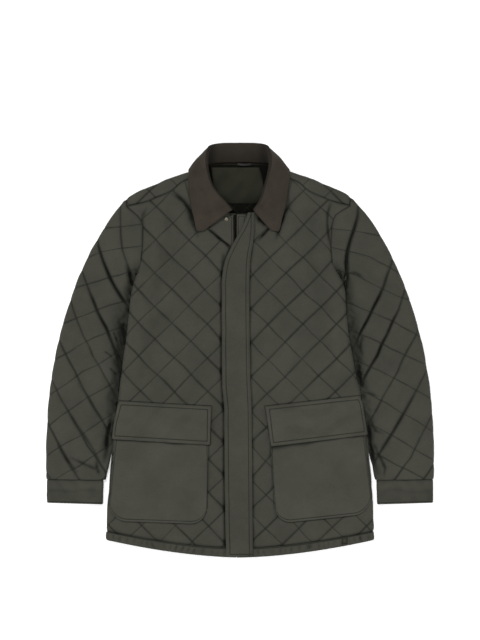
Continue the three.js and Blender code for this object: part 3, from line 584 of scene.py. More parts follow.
def cloth(name, outer, inner, stitch=None, wrap=False, keep=None, grain=None, hollow=None):
    """A closed piece of cloth between a grid of outer points and the same grid of inner ones.

    The inner faces get the second material, for pieces that have one."""
    rows, columns = outer.shape[:2]
    shift = rows * columns
    number = np.arange(shift).reshape(rows, columns)
    if wrap:
        number = np.hstack([number, number[:, :1]])
    nw, ne, sw, se = number[:-1, :-1], number[:-1, 1:], number[1:, :-1], number[1:, 1:]
    cells = np.ones(nw.shape, bool) if keep is None else keep
    quads = [np.stack([nw, ne, se, sw], -1)[cells], np.stack([sw, se, ne, nw], -1)[cells] + shift]
    around = np.pad(cells, 1)
    if wrap:
        around[1:-1, 0], around[1:-1, -1] = cells[:, -1], cells[:, 0]
    before, after = around[:-2, 1:-1], around[2:, 1:-1]
    left, right = around[1:-1, :-2], around[1:-1, 2:]
    for a, b, beyond in ((nw, ne, before), (ne, se, right), (se, sw, after), (sw, nw, left)):
        quads.append(np.stack([a, a + shift, b + shift, b], -1)[cells & ~beyond])
    used, faces = np.unique(np.concatenate(quads), return_inverse=True)
    faces = faces.reshape(-1, 4)
    points = np.concatenate([outer.reshape(-1, 3), inner.reshape(-1, 3)])[used]
    a, b, c, d = (points[faces[:, i]] for i in range(4))
    volume = sum(np.einsum("ij,ij->i", a, np.cross(*way)).sum() for way in ((b, c), (c, d)))
    if volume < 0:
        faces = faces[:, ::-1]
    extra = {}
    for key, values in (("stitch", stitch), ("grain", grain), ("hollow", hollow)):
        if values is not None:
            extra[key] = np.concatenate([values.reshape(shift, -1)] * 2)[used]
    made = solid(name, points, faces, extra)
    inner_side = np.zeros(len(faces), np.int32)
    inner_side[cells.sum() : 2 * cells.sum()] = 1
    made.data.polygons.foreach_set("material_index", inner_side)
    return made


def solid(name, points, faces, extra=()):
    """An object from points in millimetres, with smooth faces and sharp rims."""
    mesh = bpy.data.meshes.new(name)
    places = (np.asarray(points) - (0, MIDDLE_UP, 0)) / 1000
    mesh.from_pydata(places.tolist(), [], [list(map(int, face)) for face in faces])
    mesh.validate()
    mesh.shade_smooth()
    mesh.set_sharp_from_angle(angle=math.radians(58))
    for key, values in dict(extra).items():
        single = values.shape[1] == 1
        data = mesh.attributes.new(key, "FLOAT" if single else "FLOAT_VECTOR", "POINT").data
        flat = np.ascontiguousarray(values, np.float32).ravel()
        data.foreach_set("value" if single else "vector", flat)
    made = bpy.data.objects.new(name, mesh)
    bpy.context.collection.objects.link(made)
    return made


def dress(piece, node, finish, inside=None):
    """Gives a cloth piece its materials, hangs it on the root body and hides the part it replaces.
    """
    piece.data.materials.append(finish)
    piece.data.materials.append(inside or finish)
    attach(piece, "root")
    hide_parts(node)


# ---- The jacket's forms, as in its solids --------------------------------------------------
def side_name(side):
    """The wearer's side: -1 is the right one, 1 the left."""
    return "right" if side < 0 else "left"


def half_width(side, up):
    """How far out the body's side is."""
    return smooth(EDGE["up"], EDGE[side_name(side)], up)


def hem_curve(out):
    """Height of the hem's low edge, which rises toward the sides."""
    return HEM_LOW + (EDGE["up"][0] - HEM_LOW) * np.abs(out / EDGE["left"][0]) ** 1.7


def shoulder_seam(out):
    """Height of the fronts' top edge: the neckline, then the forward shoulder seam."""
    return smooth(TOP["out"], TOP["front"], out)


def body_lift(side, out, up):
    """The body is lifted by the sleeve tucked under its sides and the collar under its neck."""
    across = 1 - ease(half_width(side, up) - out, 25, LIFTED_WIDTH)
    along = ease(up, 345, 430) * (1 - ease(up, 626, 712))
    neck = ease(up, 738, 764) * (1 - ease(out, 112, 165))
    return SLEEVE_LIFT * across * along + NECK_LIFT * neck


def body_points(side, rows, shares, front, start=0.0):
    """Points of a body layer: rows up the panel, by shares of the way out to the side seam."""
    row, share = np.meshgrid(rows, shares, indexing="ij")
    hem_share = np.clip(1 - row / 300, 0, 1)
    width = half_width(side, row + EDGE["up"][0] * hem_share)
    folded = 1 - np.clip((row - ARMPIT) / (ARMHOLE_START - ARMPIT), 0, 1)
    level = width - ROLL - start
    way = share * (level + ROLL * SEAM_TURN)
    turn = np.maximum(way - level, 0) / ROLL
    angle = turn * (1 - PIT_EASE * ease(row, ARMPIT - 28, ARMPIT))
    bent = ROLL * (turn / SEAM_TURN * (1 - folded) + np.sin(angle) * folded)
    out = start + np.minimum(way, level) + bent
    drop = ROLL * (1 - np.cos(angle)) * folded
    top_share = np.clip((row - ARMPIT) / (SHOULDER_POINT - ARMPIT), 0, 1)
    reach = np.maximum(out, 0)
    top = shoulder_seam(reach) if front else smooth(TOP["out"], TOP["fold"], reach) - ROLL
    up = row + hem_curve(out) * hem_share + (top - SHOULDER_POINT) * top_share
    lift = body_lift(side, out, up)
    high = lift + BODY_THICK - drop if front else lift + drop
    return np.stack([side * out, up, high], -1)


def front_start(side):
    """The fronts end at the zip, which is past the middle for the left one."""
    return ZIP_OUT + 1 if side < 0 else 1 - ZIP_OUT


def both_halves(make):
    """One grid across the back, from its right half and its left half."""
    right, left = make(-1), make(1)
    return np.concatenate([right[:, :0:-1], left], 1)


def over_front(side, out, up, high):
    """Places over a front, that much out from it, round the side fold too."""
    fold_start = half_width(side, up) - ROLL
    angle = np.arcsin(np.clip((out - fold_start) / ROLL, 0, 1))
    centre = body_lift(side, out, up) + BODY_THICK - ROLL
    reach = ROLL + high
    x = side * (np.minimum(out, fold_start) + reach * np.sin(angle))
    return np.stack([x, up, centre + reach * np.cos(angle)], -1)


def shoulder_points(side, shares, turn, onto_front):
    """The back's way round the shoulder fold and down to the forward seam."""
    flat = body_points(side, [SHOULDER_POINT], shares, False)[0]
    out = np.abs(flat[:, 0])
    bulge = CAP_BULGE * out / EDGE[side_name(side)][-1] * math.sin(turn)
    seam_up = shoulder_seam(out) + SEAM
    up = flat[:, 1] + (seam_up - flat[:, 1]) * onto_front + ROLL * math.sin(turn)
    high = body_lift(side, out, up) + ROLL * (1 - math.cos(turn))
    return np.stack([side * (out + bulge), up, high], -1)


def covered(side, x, up):
    """1 where a pocket, flap, the placket or the collar lies on a front, 0 where it's bare."""
    out = side * x
    free, seam = (smooth(PLACKET["up"], PLACKET[key], up) for key in ("free", "seam"))
    hidden = (1 - ease(x, seam - 2, seam + 2)) * ease(x, free - 2, free + 2)
    hidden = hidden * (1 - ease(up, 712, 724))
    for kind, corners in POCKETS[side_name(side)].items():
        (a, b), (c, d), (e, f), (g, h) = corners
        share = np.clip((up - h) / (b - h), 0, 1)
        inner, outer = g + (a - g) * share, e + (c - e) * share
        across = np.clip((out - inner) / (outer - inner), 0, 1)
        top, low = b + (d - b) * across, h + (f - h) * across
        if kind == "bag":
            cut = 1 - np.minimum(across, 1 - across) * (e - g) / POCKET_ROUND
            low = low + POCKET_ROUND * (1 - np.sqrt(1 - np.clip(cut, 0, 1) ** 2))
        here = ease(out, inner - 3, inner + 1) * (1 - ease(out, outer + 4, outer + 8))
        here *= ease(up, low - 3, low + 1) * (1 - ease(up, top - 1, top + 3))
        hidden = np.maximum(hidden, here)
    # The smooth corner at the top of the right front, then the collar's two parts
    corner = (1 - ease(np.abs(x + 36), 26, 32)) * ease(up - 672 + (x + 36) * 0.8, -8, 0)
    collar = ease(up, 722, 740) * (1 - ease(out, 96, 106)) * ease(out, 20, 30)
    leaf_end = 85 - 3.5 * side + 0.3 * (up - 700)
    leaf = ease(up - 716 + (out - 60) * 1.25, -4, 4) * ease(out, 34, 44)
    leaf = leaf * (1 - ease(out - leaf_end, -3, 3))
    return np.clip(np.maximum(np.maximum(hidden, corner), np.maximum(collar, leaf)), 0, 1)


def panel(name, grid, wall, face, height, stitch, **options):
    """A quilted or plain panel: its base grid moved out by height, and its inner side."""
    outer, inner = padded(grid, normals(grid, face), height, wall)
    return cloth(name, outer, inner, stitch, **options)


# ---- Materials -----------------------------------------------------------------------------
def add(tree, kind, links=None, **settings):
    """One shader node, with its settings and its inputs linked or set.

    An input given as a node is linked to that node's first output."""
    made = tree.nodes.new("ShaderNode" + kind)
    for key, value in settings.items():
        setattr(made, key, value)
    for key, value in (links or {}).items():
        if isinstance(value, bpy.types.Node):
            value = value.outputs[0]
        if isinstance(value, bpy.types.NodeSocket):
            tree.links.new(value, made.inputs[key])
        else:
            made.inputs[key].default_value = value
    return made


def start_material(name, **numbers):
    """A new material with its own shader, and the shader's sockets that are the same all over."""
    made = bpy.data.materials.new(name)
    made.use_nodes = True
    tree = made.node_tree
    tree.nodes.clear()
    shader = add(tree, "BsdfPrincipled")
    add(tree, "OutputMaterial", {"Surface": shader}).is_active_output = True
    for key, value in numbers.items():
        shader.inputs[key.replace("_", " ")].default_value = value
    return made, tree, shader


def stitch_parts(tree):
    """The stitch line numbers stored on the mesh."""
    marks = add(tree, "Attribute", attribute_name="stitch")
    return add(tree, "SeparateXYZ", {0: marks.outputs["Vector"]})


def thread_mask(tree, stitch_length=3.4, thickness=0.42):
    """Where the sewing thread shows: stitches of 3.4 mm, from the stitch line numbers."""
    parts = stitch_parts(tree)
    masks = []
    for across, along in ((0, 1), (1, 0)):
        near = add(tree, "Math", {0: parts.outputs[across], 1: 0.5}, operation="PINGPONG")
        width = thickness / SQUARE
        line = add(tree, "MapRange", {0: near, 1: width, 2: width * 1.8, 3: 1.0, 4: 0.0})
        rate = {0: parts.outputs[along], 1: SQUARE / stitch_length}
        beat = add(tree, "Math", rate, operation="MULTIPLY")
        bar = add(tree, "Math", {0: beat, 1: 0.5}, operation="PINGPONG")
        dash = add(tree, "MapRange", {0: bar, 1: 0.08, 2: 0.16, 3: 0.0, 4: 1.0})
        masks.append(add(tree, "Math", {0: line, 1: dash}, operation="MULTIPLY"))
    second = add(tree, "Math", {0: 1.0, 1: parts.outputs[2]}, operation="SUBTRACT")
    crossing = add(tree, "Math", {0: masks[1], 1: second}, operation="MULTIPLY")
    return add(tree, "Math", {0: masks[0], 1: crossing}, operation="MAXIMUM")


def fold_shade(tree):
    """Brightness in the folds: their own shade, stored on the mesh, makes them darker."""
    depth = add(tree, "Attribute", attribute_name="hollow")
    return add(tree, "MapRange", {0: depth.outputs["Fac"], 1: 0.0, 2: 1.0, 3: 1.0, 4: 0.03})


# Painted shade along the stitch lines, where their grooves lie in shade: which line number, its
# half width, and its darkest and faintest brightness
QUILT_LINE_SHADE = ((0, 2.2, 0.43, 0.76), (1, 1.8, 0.62, 0.97))
TOPSTITCH_LINE_SHADE = ((0, 1.0, 0.5, 0.76), (1, 1.0, 0.8, 1.0))


def line_and_fold_shade(tree, place, lines):
    """Brightness of the cloth: painted shade along the stitch lines and deep in the folds."""
    parts = stitch_parts(tree)
    # The painted shade along the lines varies every 45 mm, about a square
    uneven = add(tree, "TexNoise", {"Vector": place, "Scale": 22.0, "Detail": 2.0})
    shades = []
    for across, width, dark, faint in lines:
        near = add(tree, "Math", {0: parts.outputs[across], 1: 0.5}, operation="PINGPONG")
        pull = add(tree, "MapRange", {0: uneven, 1: 0.36, 2: 0.64, 3: dark, 4: faint})
        reach = {1: 0.2 * width / SQUARE, 2: 1.7 * width / SQUARE}
        shades.append(add(tree, "MapRange", {0: near, **reach, 3: pull, 4: 1.0}))
    crossing = add(tree, "Math", {0: shades[1], 1: parts.outputs[2]}, operation="MAXIMUM")
    both = add(tree, "Math", {0: shades[0], 1: crossing}, operation="MULTIPLY")
    return add(tree, "Math", {0: both, 1: fold_shade(tree)}, operation="MULTIPLY")


def shell_material(name, colour, roughness, sheen, shine=0.1, lines=QUILT_LINE_SHADE):
    """Fine brushed shell cloth: matt, with a soft bloom at grazing light and darker thread."""
    made, tree, shader = start_material(
        name, Roughness=roughness, Specular_IOR_Level=shine, Sheen_Weight=sheen,
        Sheen_Roughness=0.45,
    )
    place = add(tree, "TexCoord").outputs["Object"]
    # Clouds of wear 60 mm across, and a nap of 2.4 mm (1000 / scale)
    noise = {"Vector": place, "Scale": 16.0, "Detail": 4.0, "Roughness": 0.6}
    clouds = add(tree, "TexNoise", noise)
    nap = add(tree, "TexNoise", {"Vector": place, "Scale": 420.0, "Detail": 3.0})
    # The yarns are 0.4 mm apart on the real cloth. Here they are 1.1 mm apart (444 / scale),
    # nearly three times as coarse, so that they show.
    yarn = {"Vector": place, "Scale": 400.0, "Distortion": 0.6, "Detail": 1.0}
    warp = add(tree, "TexWave", yarn, bands_direction="DIAGONAL")
    shade = add(tree, "MapRange", {0: clouds, 1: 0.3, 2: 0.7, 3: 0.88, 4: 1.12})
    fleck = add(tree, "MapRange", {0: nap, 1: 0.3, 2: 0.7, 3: 0.93, 4: 1.07})
    both = add(tree, "Math", {0: shade, 1: fleck}, operation="MULTIPLY")
    tint = add(tree, "VectorMath", {0: colour, 3: both}, operation="SCALE")
    # The colour is darkened by painted shade along the stitch lines and in the folds
    painted_shade_factor = line_and_fold_shade(tree, place, lines)
    dimmed = add(tree, "VectorMath", {0: tint, 3: painted_shade_factor}, operation="SCALE")
    sewn = thread_mask(tree)
    thread = (*bpy.context.scene.jacket_colours.thread, 1.0)
    mixed = add(tree, "Mix", {0: sewn, 6: dimmed, 7: thread}, data_type="RGBA")
    tree.links.new(mixed.outputs[2], shader.inputs["Base Color"])
    # Three reliefs: the weave, the brushed nap over it, and the thread on top
    relief = None
    for height, strength, distance in (
        (warp.outputs["Fac"], 0.12, 0.0002), (nap, 0.25, 0.0004), (sewn, 0.6, 0.0004),
    ):
        under = {"Normal": relief} if relief else {}
        bump = {"Height": height, "Strength": strength, "Distance": distance}
        relief = add(tree, "Bump", bump | under)
    tree.links.new(relief.outputs[0], shader.inputs["Normal"])
    return made


def corduroy_material(name, colour):
    """Needlecord: fine rounded wales with painted light on their crests, painted shade in their
    valleys and a velvety bloom.
    """
    made, tree, shader = start_material(
        name, Roughness=0.9, Specular_IOR_Level=0.2, Sheen_Weight=0.03, Sheen_Roughness=0.3,
    )
    marks = add(tree, "Attribute", attribute_name="grain")
    place = add(tree, "TexCoord").outputs["Object"]
    # A nap of 4 mm, and rubbed patches of 40 mm
    nap = add(tree, "TexNoise", {"Vector": place, "Scale": 260.0, "Detail": 3.0})
    patches = add(tree, "TexNoise", {"Vector": place, "Scale": 26.0, "Detail": 3.0})
    parts = add(tree, "SeparateXYZ", {0: marks.outputs["Vector"]})
    # The grain counts the wales, one to a whole number, and the nap blurs their edges
    wobble = add(tree, "Math", {0: nap, 1: 0.25, 2: parts}, operation="MULTIPLY_ADD")
    wale = add(tree, "Math", {0: wobble, 1: 0.5}, operation="PINGPONG")
    edges = {0: wale, 1: 0.04, 2: 0.36, 3: 0.0, 4: 1.0}
    round_wale = add(tree, "MapRange", edges, interpolation_type="SMOOTHSTEP")
    # Painted light and shade: the wales lighter on their crests and darker in their valleys, and
    # the shade painted on the mesh
    depth = add(tree, "MapRange", {0: round_wale, 1: 0.0, 2: 1.0, 3: 0.55, 4: 1.1})
    patch_shade = add(tree, "MapRange", {0: patches, 1: 0.3, 2: 0.7, 3: 0.85, 4: 1.15})
    both = add(tree, "Math", {0: depth, 1: patch_shade}, operation="MULTIPLY")
    shaded = add(tree, "Math", {0: both, 1: fold_shade(tree)}, operation="MULTIPLY")
    tint = add(tree, "VectorMath", {0: colour, 3: shaded}, operation="SCALE")
    tree.links.new(tint.outputs[0], shader.inputs["Base Color"])
    ribs = add(tree, "Bump", {"Height": round_wale, "Strength": 0.7, "Distance": 0.0007})
    fuzz = add(tree, "Bump", {"Height": nap, "Strength": 0.4, "Distance": 0.0005, "Normal": ribs})
    tree.links.new(fuzz.outputs[0], shader.inputs["Normal"])
    return made


def metal_material(name, colour):
    """Aged brass: warm, a little rough, darker in random blotches."""
    made, tree, shader = start_material(name, Metallic=1.0)
    place = add(tree, "TexCoord").outputs["Object"]
    # Blotches of 3 mm
    age = add(tree, "TexNoise", {"Vector": place, "Scale": 300.0, "Detail": 4.0})
    shade = add(tree, "MapRange", {0: age, 1: 0.3, 2: 0.7, 3: 0.6, 4: 1.1})
    tint = add(tree, "VectorMath", {0: colour, 3: shade}, operation="SCALE")
    tree.links.new(tint.outputs[0], shader.inputs["Base Color"])
    rough = add(tree, "MapRange", {0: age, 1: 0.3, 2: 0.7, 3: 0.45, 4: 0.25})
    tree.links.new(rough.outputs[0], shader.inputs["Roughness"])
    return made


# Each finish by its kind: its name, how it's made, its colour (one that the panel sets, or a
# hex value), how much brighter it is painted as painted light, its roughness, sheen, shine and
# stitch-line shade
FINISHES = {
    # Brushed polyester microfibre: matt and dark, its squares bloom softly
    "shell": ("brushed_shell", shell_material, "shell", 1, 0.72, 0.05),
    # The same cloth unquilted, with fine topstitching at its edge
    "smooth": ("plain_shell", shell_material, "shell", 1, 0.7, 0.05, 0.1, TOPSTITCH_LINE_SHADE),
    # Pockets lie on top: the same cloth painted 12% brighter, as painted light
    "patch": ("pocket_shell", shell_material, "shell", 1.12, 0.7, 0.05, 0.1, TOPSTITCH_LINE_SHADE),
    # Cotton needlecord, brown and velvety
    "corduroy": ("brown_needlecord", corduroy_material, "corduroy", 1),
    # Woven lining: smooth, dark, hardly any shine
    "lining": ("satin_lining", shell_material, "lining", 1, 0.6, 0.0, 0.06),
    # Painted shadow: near black with hardly any shine, it stands for the deep shade inside the body
    "inside": ("black_lining", shell_material, "inside", 1, 0.9, 0.0, 0.03),
    # Woven tapes, flat and plain
    "loop": ("satin_tape", shell_material, "#242221", 1, 0.5, 0.0),
    "tab": ("woven_tab", shell_material, "#32322a", 1, 0.7, 0.0),
    "tape": ("black_twill_tape", shell_material, "#141412", 1, 0.9, 0.0, 0.05),
    # Plated brass: warm and worn on the stud, blackened on the teeth
    "metal": ("aged_brass", metal_material, "metal", 1),
    "teeth": ("blackened_brass", metal_material, "#12110e", 1),
}


def material(kind):
    """Each finish once, by its kind."""
    name, make, colour, painted_light_gain, *numbers = FINISHES[kind]
    if name not in bpy.data.materials:
        set_colour = getattr(bpy.context.scene.jacket_colours, colour, None)
        parts = linear_colour(colour) if set_colour is None else tuple(set_colour)
        make(name, tuple(part * painted_light_gain for part in parts), *numbers)
    return bpy.data.materials[name]


# ---- Body ----------------------------------------------------------------------------------
# The placket presses a gutter into the front beside each of its edges: how deep it is, and how
# strong and wide the shade painted in it
GUTTER = {-1: (2.9, 1.0, 4.4), 1: (1.9, 0.55, 2.2)}
ARMHOLE_DIP = 3.2


def mesh_rows(start, end, step):
    """Even rows, about a step apart."""
    return np.linspace(start, end, round((end - start) / step) + 1)


def armhole_dip(side, out, up):
    """The seam allowance pulls both panels down along the armhole."""
    from_seam = np.maximum(half_width(side, up) - out, 0)
    return -ARMHOLE_DIP * fade(from_seam, 2.2) * ease(up, 596, 612)


def calm_sides(height, outward, level):
    """Quilting is stretched flatter where the cloth turns down at the sides."""
    share = 0.3 + 0.7 * ease(outward[..., 2], 0.0, 0.7)
    return level + (height - level) * share


def front_height(side, grid, size):
    """Height of a front over its grid, its stitch lines, and the shade painted in its dips and
    folds.
    """
    name = side_name(side)
    x, up = grid[..., 0], grid[..., 1]
    lines = BODY_LINES[name]
    stray_x, stray_up = x + 1.4 * waves(x, up, 150, 3), up + 1.4 * waves(x, up, 140, 4)
    deep = line_number(stray_up - side * stray_x, lines["deep"])
    light = line_number(stray_up + side * stray_x, lines["light"])
    height = pillow(deep, light, x, up, size, 10 + side) + 1.2
    height = calm_sides(height, normals(grid, side), 0.4)
    height += 0.5 * waves(x, up, 120, 20 + side)
    # What lies on the front presses it flat
    hidden = covered(side, x, up)
    height = np.where(height > -0.2, -0.2 + (height + 0.2) * (1 - hidden), height)
    fold, hollow = folds(FRONT_CREASES[name], side, x, up)
    gutter_deep, strong, wide = GUTTER[side]
    edge = smooth(PLACKET["up"], PLACKET["free" if side < 0 else "seam"], up)
    beside = side * (x - edge)
    below_turn = 1 - ease(up, 640, 660)
    gutter = mound(beside - 1.2, 1.7) + 0.35 * fade(np.abs(beside), 5)
    fold -= gutter_deep * gutter * below_turn
    # The painted shade in the gutter is darkest where a deep quilting line runs into it
    meeting = mound(from_line(deep), 6.5)
    beam = np.maximum(beside, 0) / (wide * (0.5 + 0.8 * meeting))
    beam = np.exp(-(beam**4)) * below_turn
    hollow = np.maximum(hollow, strong * (0.55 + 0.45 * meeting) * beam)
    # Shade is painted under the shoulder seam, in the armhole's dip and above the hem band
    from_shoulder = np.maximum(shoulder_seam(np.abs(x)) - up, 0)
    hollow = np.maximum(hollow, 0.55 * mound(from_shoulder, 2.4))
    from_hem = np.maximum(up - hem_curve(x) - HEM_BAND, 0)
    edge_dip = armhole_dip(side, side * x, up) - 2.4 * fade(from_hem, 2.4)
    hollow = np.maximum(hollow, 0.75 * np.clip(-edge_dip / 2.6, 0, 1) ** 1.4)
    # A little shade is painted along the edge of whatever is on the front
    hollow = np.maximum(hollow, 0.5 * 4 * hidden * (1 - hidden))
    return height + fold + edge_dip, stitch_marks(deep, light), hollow


class JACKET_OT_fronts(bpy.types.Operator):
    """Makes the two quilted fronts"""

    bl_idname = "jacket.fronts"
    bl_label = "Fronts"

    def execute(self, context):
        size = sizes()
        rows = mesh_rows(HEM_BAND + SEAM, SHOULDER_POINT, size["step"])
        # Shares of a front's width, which is about 250
        shares = spread(0, 1, size["step"] / 250, (0.002, 0.005, 0.009))
        for side in (-1, 1):
            name = side_name(side)
            grid = body_points(side, rows, shares, True, front_start(side))
            height, stitch, hollow = front_height(side, grid, size)
            piece = panel(
                f"cloth_front_{name}", grid, QUILT_WALL, side, height, stitch, hollow=hollow,
            )
            dress(piece, f"front_{name}", material("shell"))
        return {"FINISHED"}


class JACKET_OT_back(bpy.types.Operator):
    """Makes the quilted back, which goes over the shoulder fold to the forward seam"""

    bl_idname = "jacket.back"
    bl_label = "Back"

    def execute(self, context):
        size = sizes()
        step = size["step"] * 1.5
        rows = mesh_rows(HEM_BAND + SEAM, ARMPIT, step * 1.5)
        rows = np.concatenate([rows, mesh_rows(ARMPIT, SHOULDER_POINT, step)[1:]])
        # Over the neck the shoulder part is left out, this many columns from the middle
        widest = EDGE["left"][-1]
        neck_share = 0.5 * (widest - LIFTED_WIDTH) / (widest - ROLL + ROLL * SEAM_TURN)
        neck_columns = round(80 / step)
        beyond_neck = np.linspace(neck_share, 1, round(160 / step))
        shares = np.concatenate([np.linspace(0, neck_share, neck_columns)[:-1], beyond_neck])
        way_round = [(turn, 0) for turn in np.linspace(0, math.pi, 14)[1:]]
        way_round += [(math.pi, share) for share in np.linspace(0, 1, 10)[1:]]

        def half(side):
            over = [shoulder_points(side, shares, turn, onto)[None] for turn, onto in way_round]
            return np.concatenate([body_points(side, rows, shares, False), *over])

        grid = both_halves(half)
        x, up = grid[..., 0], grid[..., 1]
        rolled = np.arange(len(grid))[:, None] >= len(rows) - 1
        lines = BODY_LINES["back"]
        deep = line_number(up + np.abs(x) - 400, lines["deep"])
        light = line_number(up - np.abs(x) - 300, lines["light"])
        height = pillow(deep, light, x, up, size, 31)
        height = calm_sides(height, np.abs(normals(grid, -1)), -1.0)
        # Nothing stands out from the flat underside
        onto_front = rolled & (grid[..., 2] > BODY_THICK / 2)
        height = np.where(onto_front, height + 1.2, np.minimum(height, 0))
        from_seam = np.maximum(up - shoulder_seam(np.abs(x)), 0)
        height -= np.where(onto_front, 2.2 * fade(from_seam, 2.6), 0)
        width = np.where(x < 0, half_width(-1, up), half_width(1, up))
        dip = 2.4 * fade(np.maximum(width - np.abs(x), 0), 2.6) * ease(up, 596, 612)
        height -= np.where(rolled, dip, 0)
        keep = np.ones((grid.shape[0] - 1, grid.shape[1] - 1), bool)
        middle = len(shares) - 1
        keep[len(rows) - 1 :, middle - neck_columns + 1 : middle + neck_columns - 1] = False
        # Shade is painted under the shoulder seam and in the armhole's dip
        hollow = np.where(onto_front, 0.55 * mound(from_seam, 2.4), 0)
        hollow = np.maximum(hollow, np.where(rolled, 0.75 * (dip / 2.4) ** 1.4, 0))
        piece = panel(
            "cloth_back", grid, QUILT_WALL, -1, height, stitch_marks(deep, light),
            keep=keep, hollow=hollow,
        )
        # The back's inner faces get the near-black finish, a painted shadow for the deep inside
        dress(
            piece, "back", material("shell"),
            material("inside"),
        )
        return {"FINISHED"}


class JACKET_OT_hem(bpy.types.Operator):
    """Makes the three hem bands, a little puckered by their stitching"""

    bl_idname = "jacket.hem"
    bl_label = "Hem bands"

    def execute(self, context):
        size = sizes()
        rows = spread(0, HEM_BAND, 1.6, (0.4, 1.0))
        for node, side in (("hem_right", -1), ("hem_left", 1), ("hem_back", 0)):
            if side:
                shares = spread(0, 1, size["step"] / 260, (0.002, 0.005))
                grid = body_points(side, rows, shares, True, front_start(side))
            else:
                shares = spread(0, 1, size["step"] * 2 / 280, (0.003,))
                grid = both_halves(lambda half: body_points(half, rows, shares, False))
            x, up = grid[..., 0], grid[..., 1]
            over = up - hem_curve(x)
            belly = np.sin(np.clip(over / HEM_BAND, 0, 1) * math.pi)
            ripple = np.sin(x / 2.3 + 2.5 * waves(x, up, 60, 5)) * (0.6 + 0.4 * waves(x, up, 50, 6))
            height = 0.75 * ripple * belly + 0.9 * belly**0.7 - 1.1
            height -= 0.7 * mound(over - HEM_BAND + HEM_STITCH, 1.1)
            height -= 1.3 * fade(over, 0.9) + 1.6 * fade(HEM_BAND - over, 1.2)
            if side:
                pressed = np.where(covered(side, x, up) > 0.1, -0.2, 9)
                height = np.minimum(height + 0.6, pressed)
            else:
                height = np.minimum(height, 0)
            stitch = stitch_marks((over - HEM_BAND + HEM_STITCH) / SQUARE, x / SQUARE, 1.0)
            # Shade is painted in the troughs of the ripples and along the band's top edge
            hollow = 0.5 * np.clip(-ripple, 0, 1) * belly
            hollow = np.maximum(hollow, 0.65 * fade(np.maximum(HEM_BAND - over, 0), 1.6))
            piece = panel(
                f"cloth_{node}", grid, QUILT_WALL - 0.8, side or -1, height, stitch, hollow=hollow,
            )
            dress(piece, node, material("smooth"))
        return {"FINISHED"}


# ---- Sleeves and cuffs ---------------------------------------------------------------------
def armhole_ring(side, tops, arcs, unders, caps):
    """The sleeve's first ring, along the open edge of the body."""
    rows = np.linspace(ARMHOLE_START, SHOULDER_POINT, 300)

    def edge(front):
        line = body_points(side, rows, [1.0], front)[:, 0]
        cap_seam = ARM_SEAM if front else CAP_SEAM
        line[:, 0] += side * np.where(rows < CAP_START, ARM_SEAM, cap_seam)
        # It is tucked in a little more at the armpit
        line[:, 0] -= side * 1.2 * (1 - ease(rows, ARMHOLE_START, ARMHOLE_START + 14))
        return line

    def along(line, start, end, count):
        at = start + (end - start) * np.linspace(0, 1, count)
        return np.stack([np.interp(at, line[:, 1], line[:, i]) for i in range(3)], -1)

    head = shoulder_points(side, np.array([1.0]), math.pi, 0)[0]
    head[0] += side * ARM_SEAM
    over, under = np.concatenate([edge(True), head[None]]), edge(False)
    top = along(over, head[1], over[0, 1], tops)
    low = along(under, under[0, 1], under[-1, 1], unders)
    centre = (under[0] + over[0]) / 2
    end = body_points(side, [ARMPIT], [1.0], False)[0, 0]
    end[0] += side * ARM_SEAM
    end[2] = centre[2]
    turn = np.linspace(0, math.pi, arcs + 2)[1:-1, None]
    pit = centre + (end - centre) * np.sin(turn) + np.array([0, 0, ROLL]) * np.cos(turn)
    turns = np.linspace(0, math.pi, caps + 2)[1:-1]
    cap = np.array([shoulder_points(side, np.array([1.0]), turn, 0)[0] for turn in turns])
    cap[:, 0] += side * CAP_SEAM
    return np.concatenate([top, pit, low, cap])


def flat_ring(side, section, tops, arcs, unders, caps):
    """A flattened ring between an outer and an inner edge, with round ends."""
    outer = np.array([section["out"], section["up"]])
    inner = np.array([section["in_out"], section["in_up"]])
    thick, in_thick, in_high = section["thick"], section["in_thick"], section["in_high"]
    along = (outer - inner) / np.linalg.norm(outer - inner)
    bow_way = np.array([-along[1], along[0]])
    outer_centre = outer - along * thick / 2
    inner_centre = inner + along * in_thick / 2

    def level(share, is_top):
        flat = outer_centre + (inner_centre - outer_centre) * share[:, None]
        flat = flat - bow_way * (section["bow"] * 4 * share * (1 - share))[:, None]
        base = in_high * ease(share, 0.3, 1)
        high = base + thick + (in_thick - thick) * share if is_top else base
        return np.column_stack([side * flat[:, 0], flat[:, 1], high])

    def arc(centre, radius, base, way, turn):
        flat = centre + along * (way * radius * np.sin(turn))[:, None]
        high = base + radius - radius * np.cos(turn)
        return np.column_stack([side * flat[:, 0], flat[:, 1], high])

    down, up = np.linspace(math.pi, 0, arcs + 2)[1:-1], np.linspace(0, math.pi, caps + 2)[1:-1]
    return np.concatenate([
        level(np.linspace(0, 1, tops), True),
        arc(inner_centre, in_thick / 2, in_high, -1, down),
        level(1 - np.linspace(0, 1, unders), False),
        arc(outer_centre, thick / 2, 0, 1, up),
    ])


def sections(rows, **more):
    """Each row of a table by its column names."""
    return [dict(zip(rows, row)) | more for row in zip(*rows.values())]


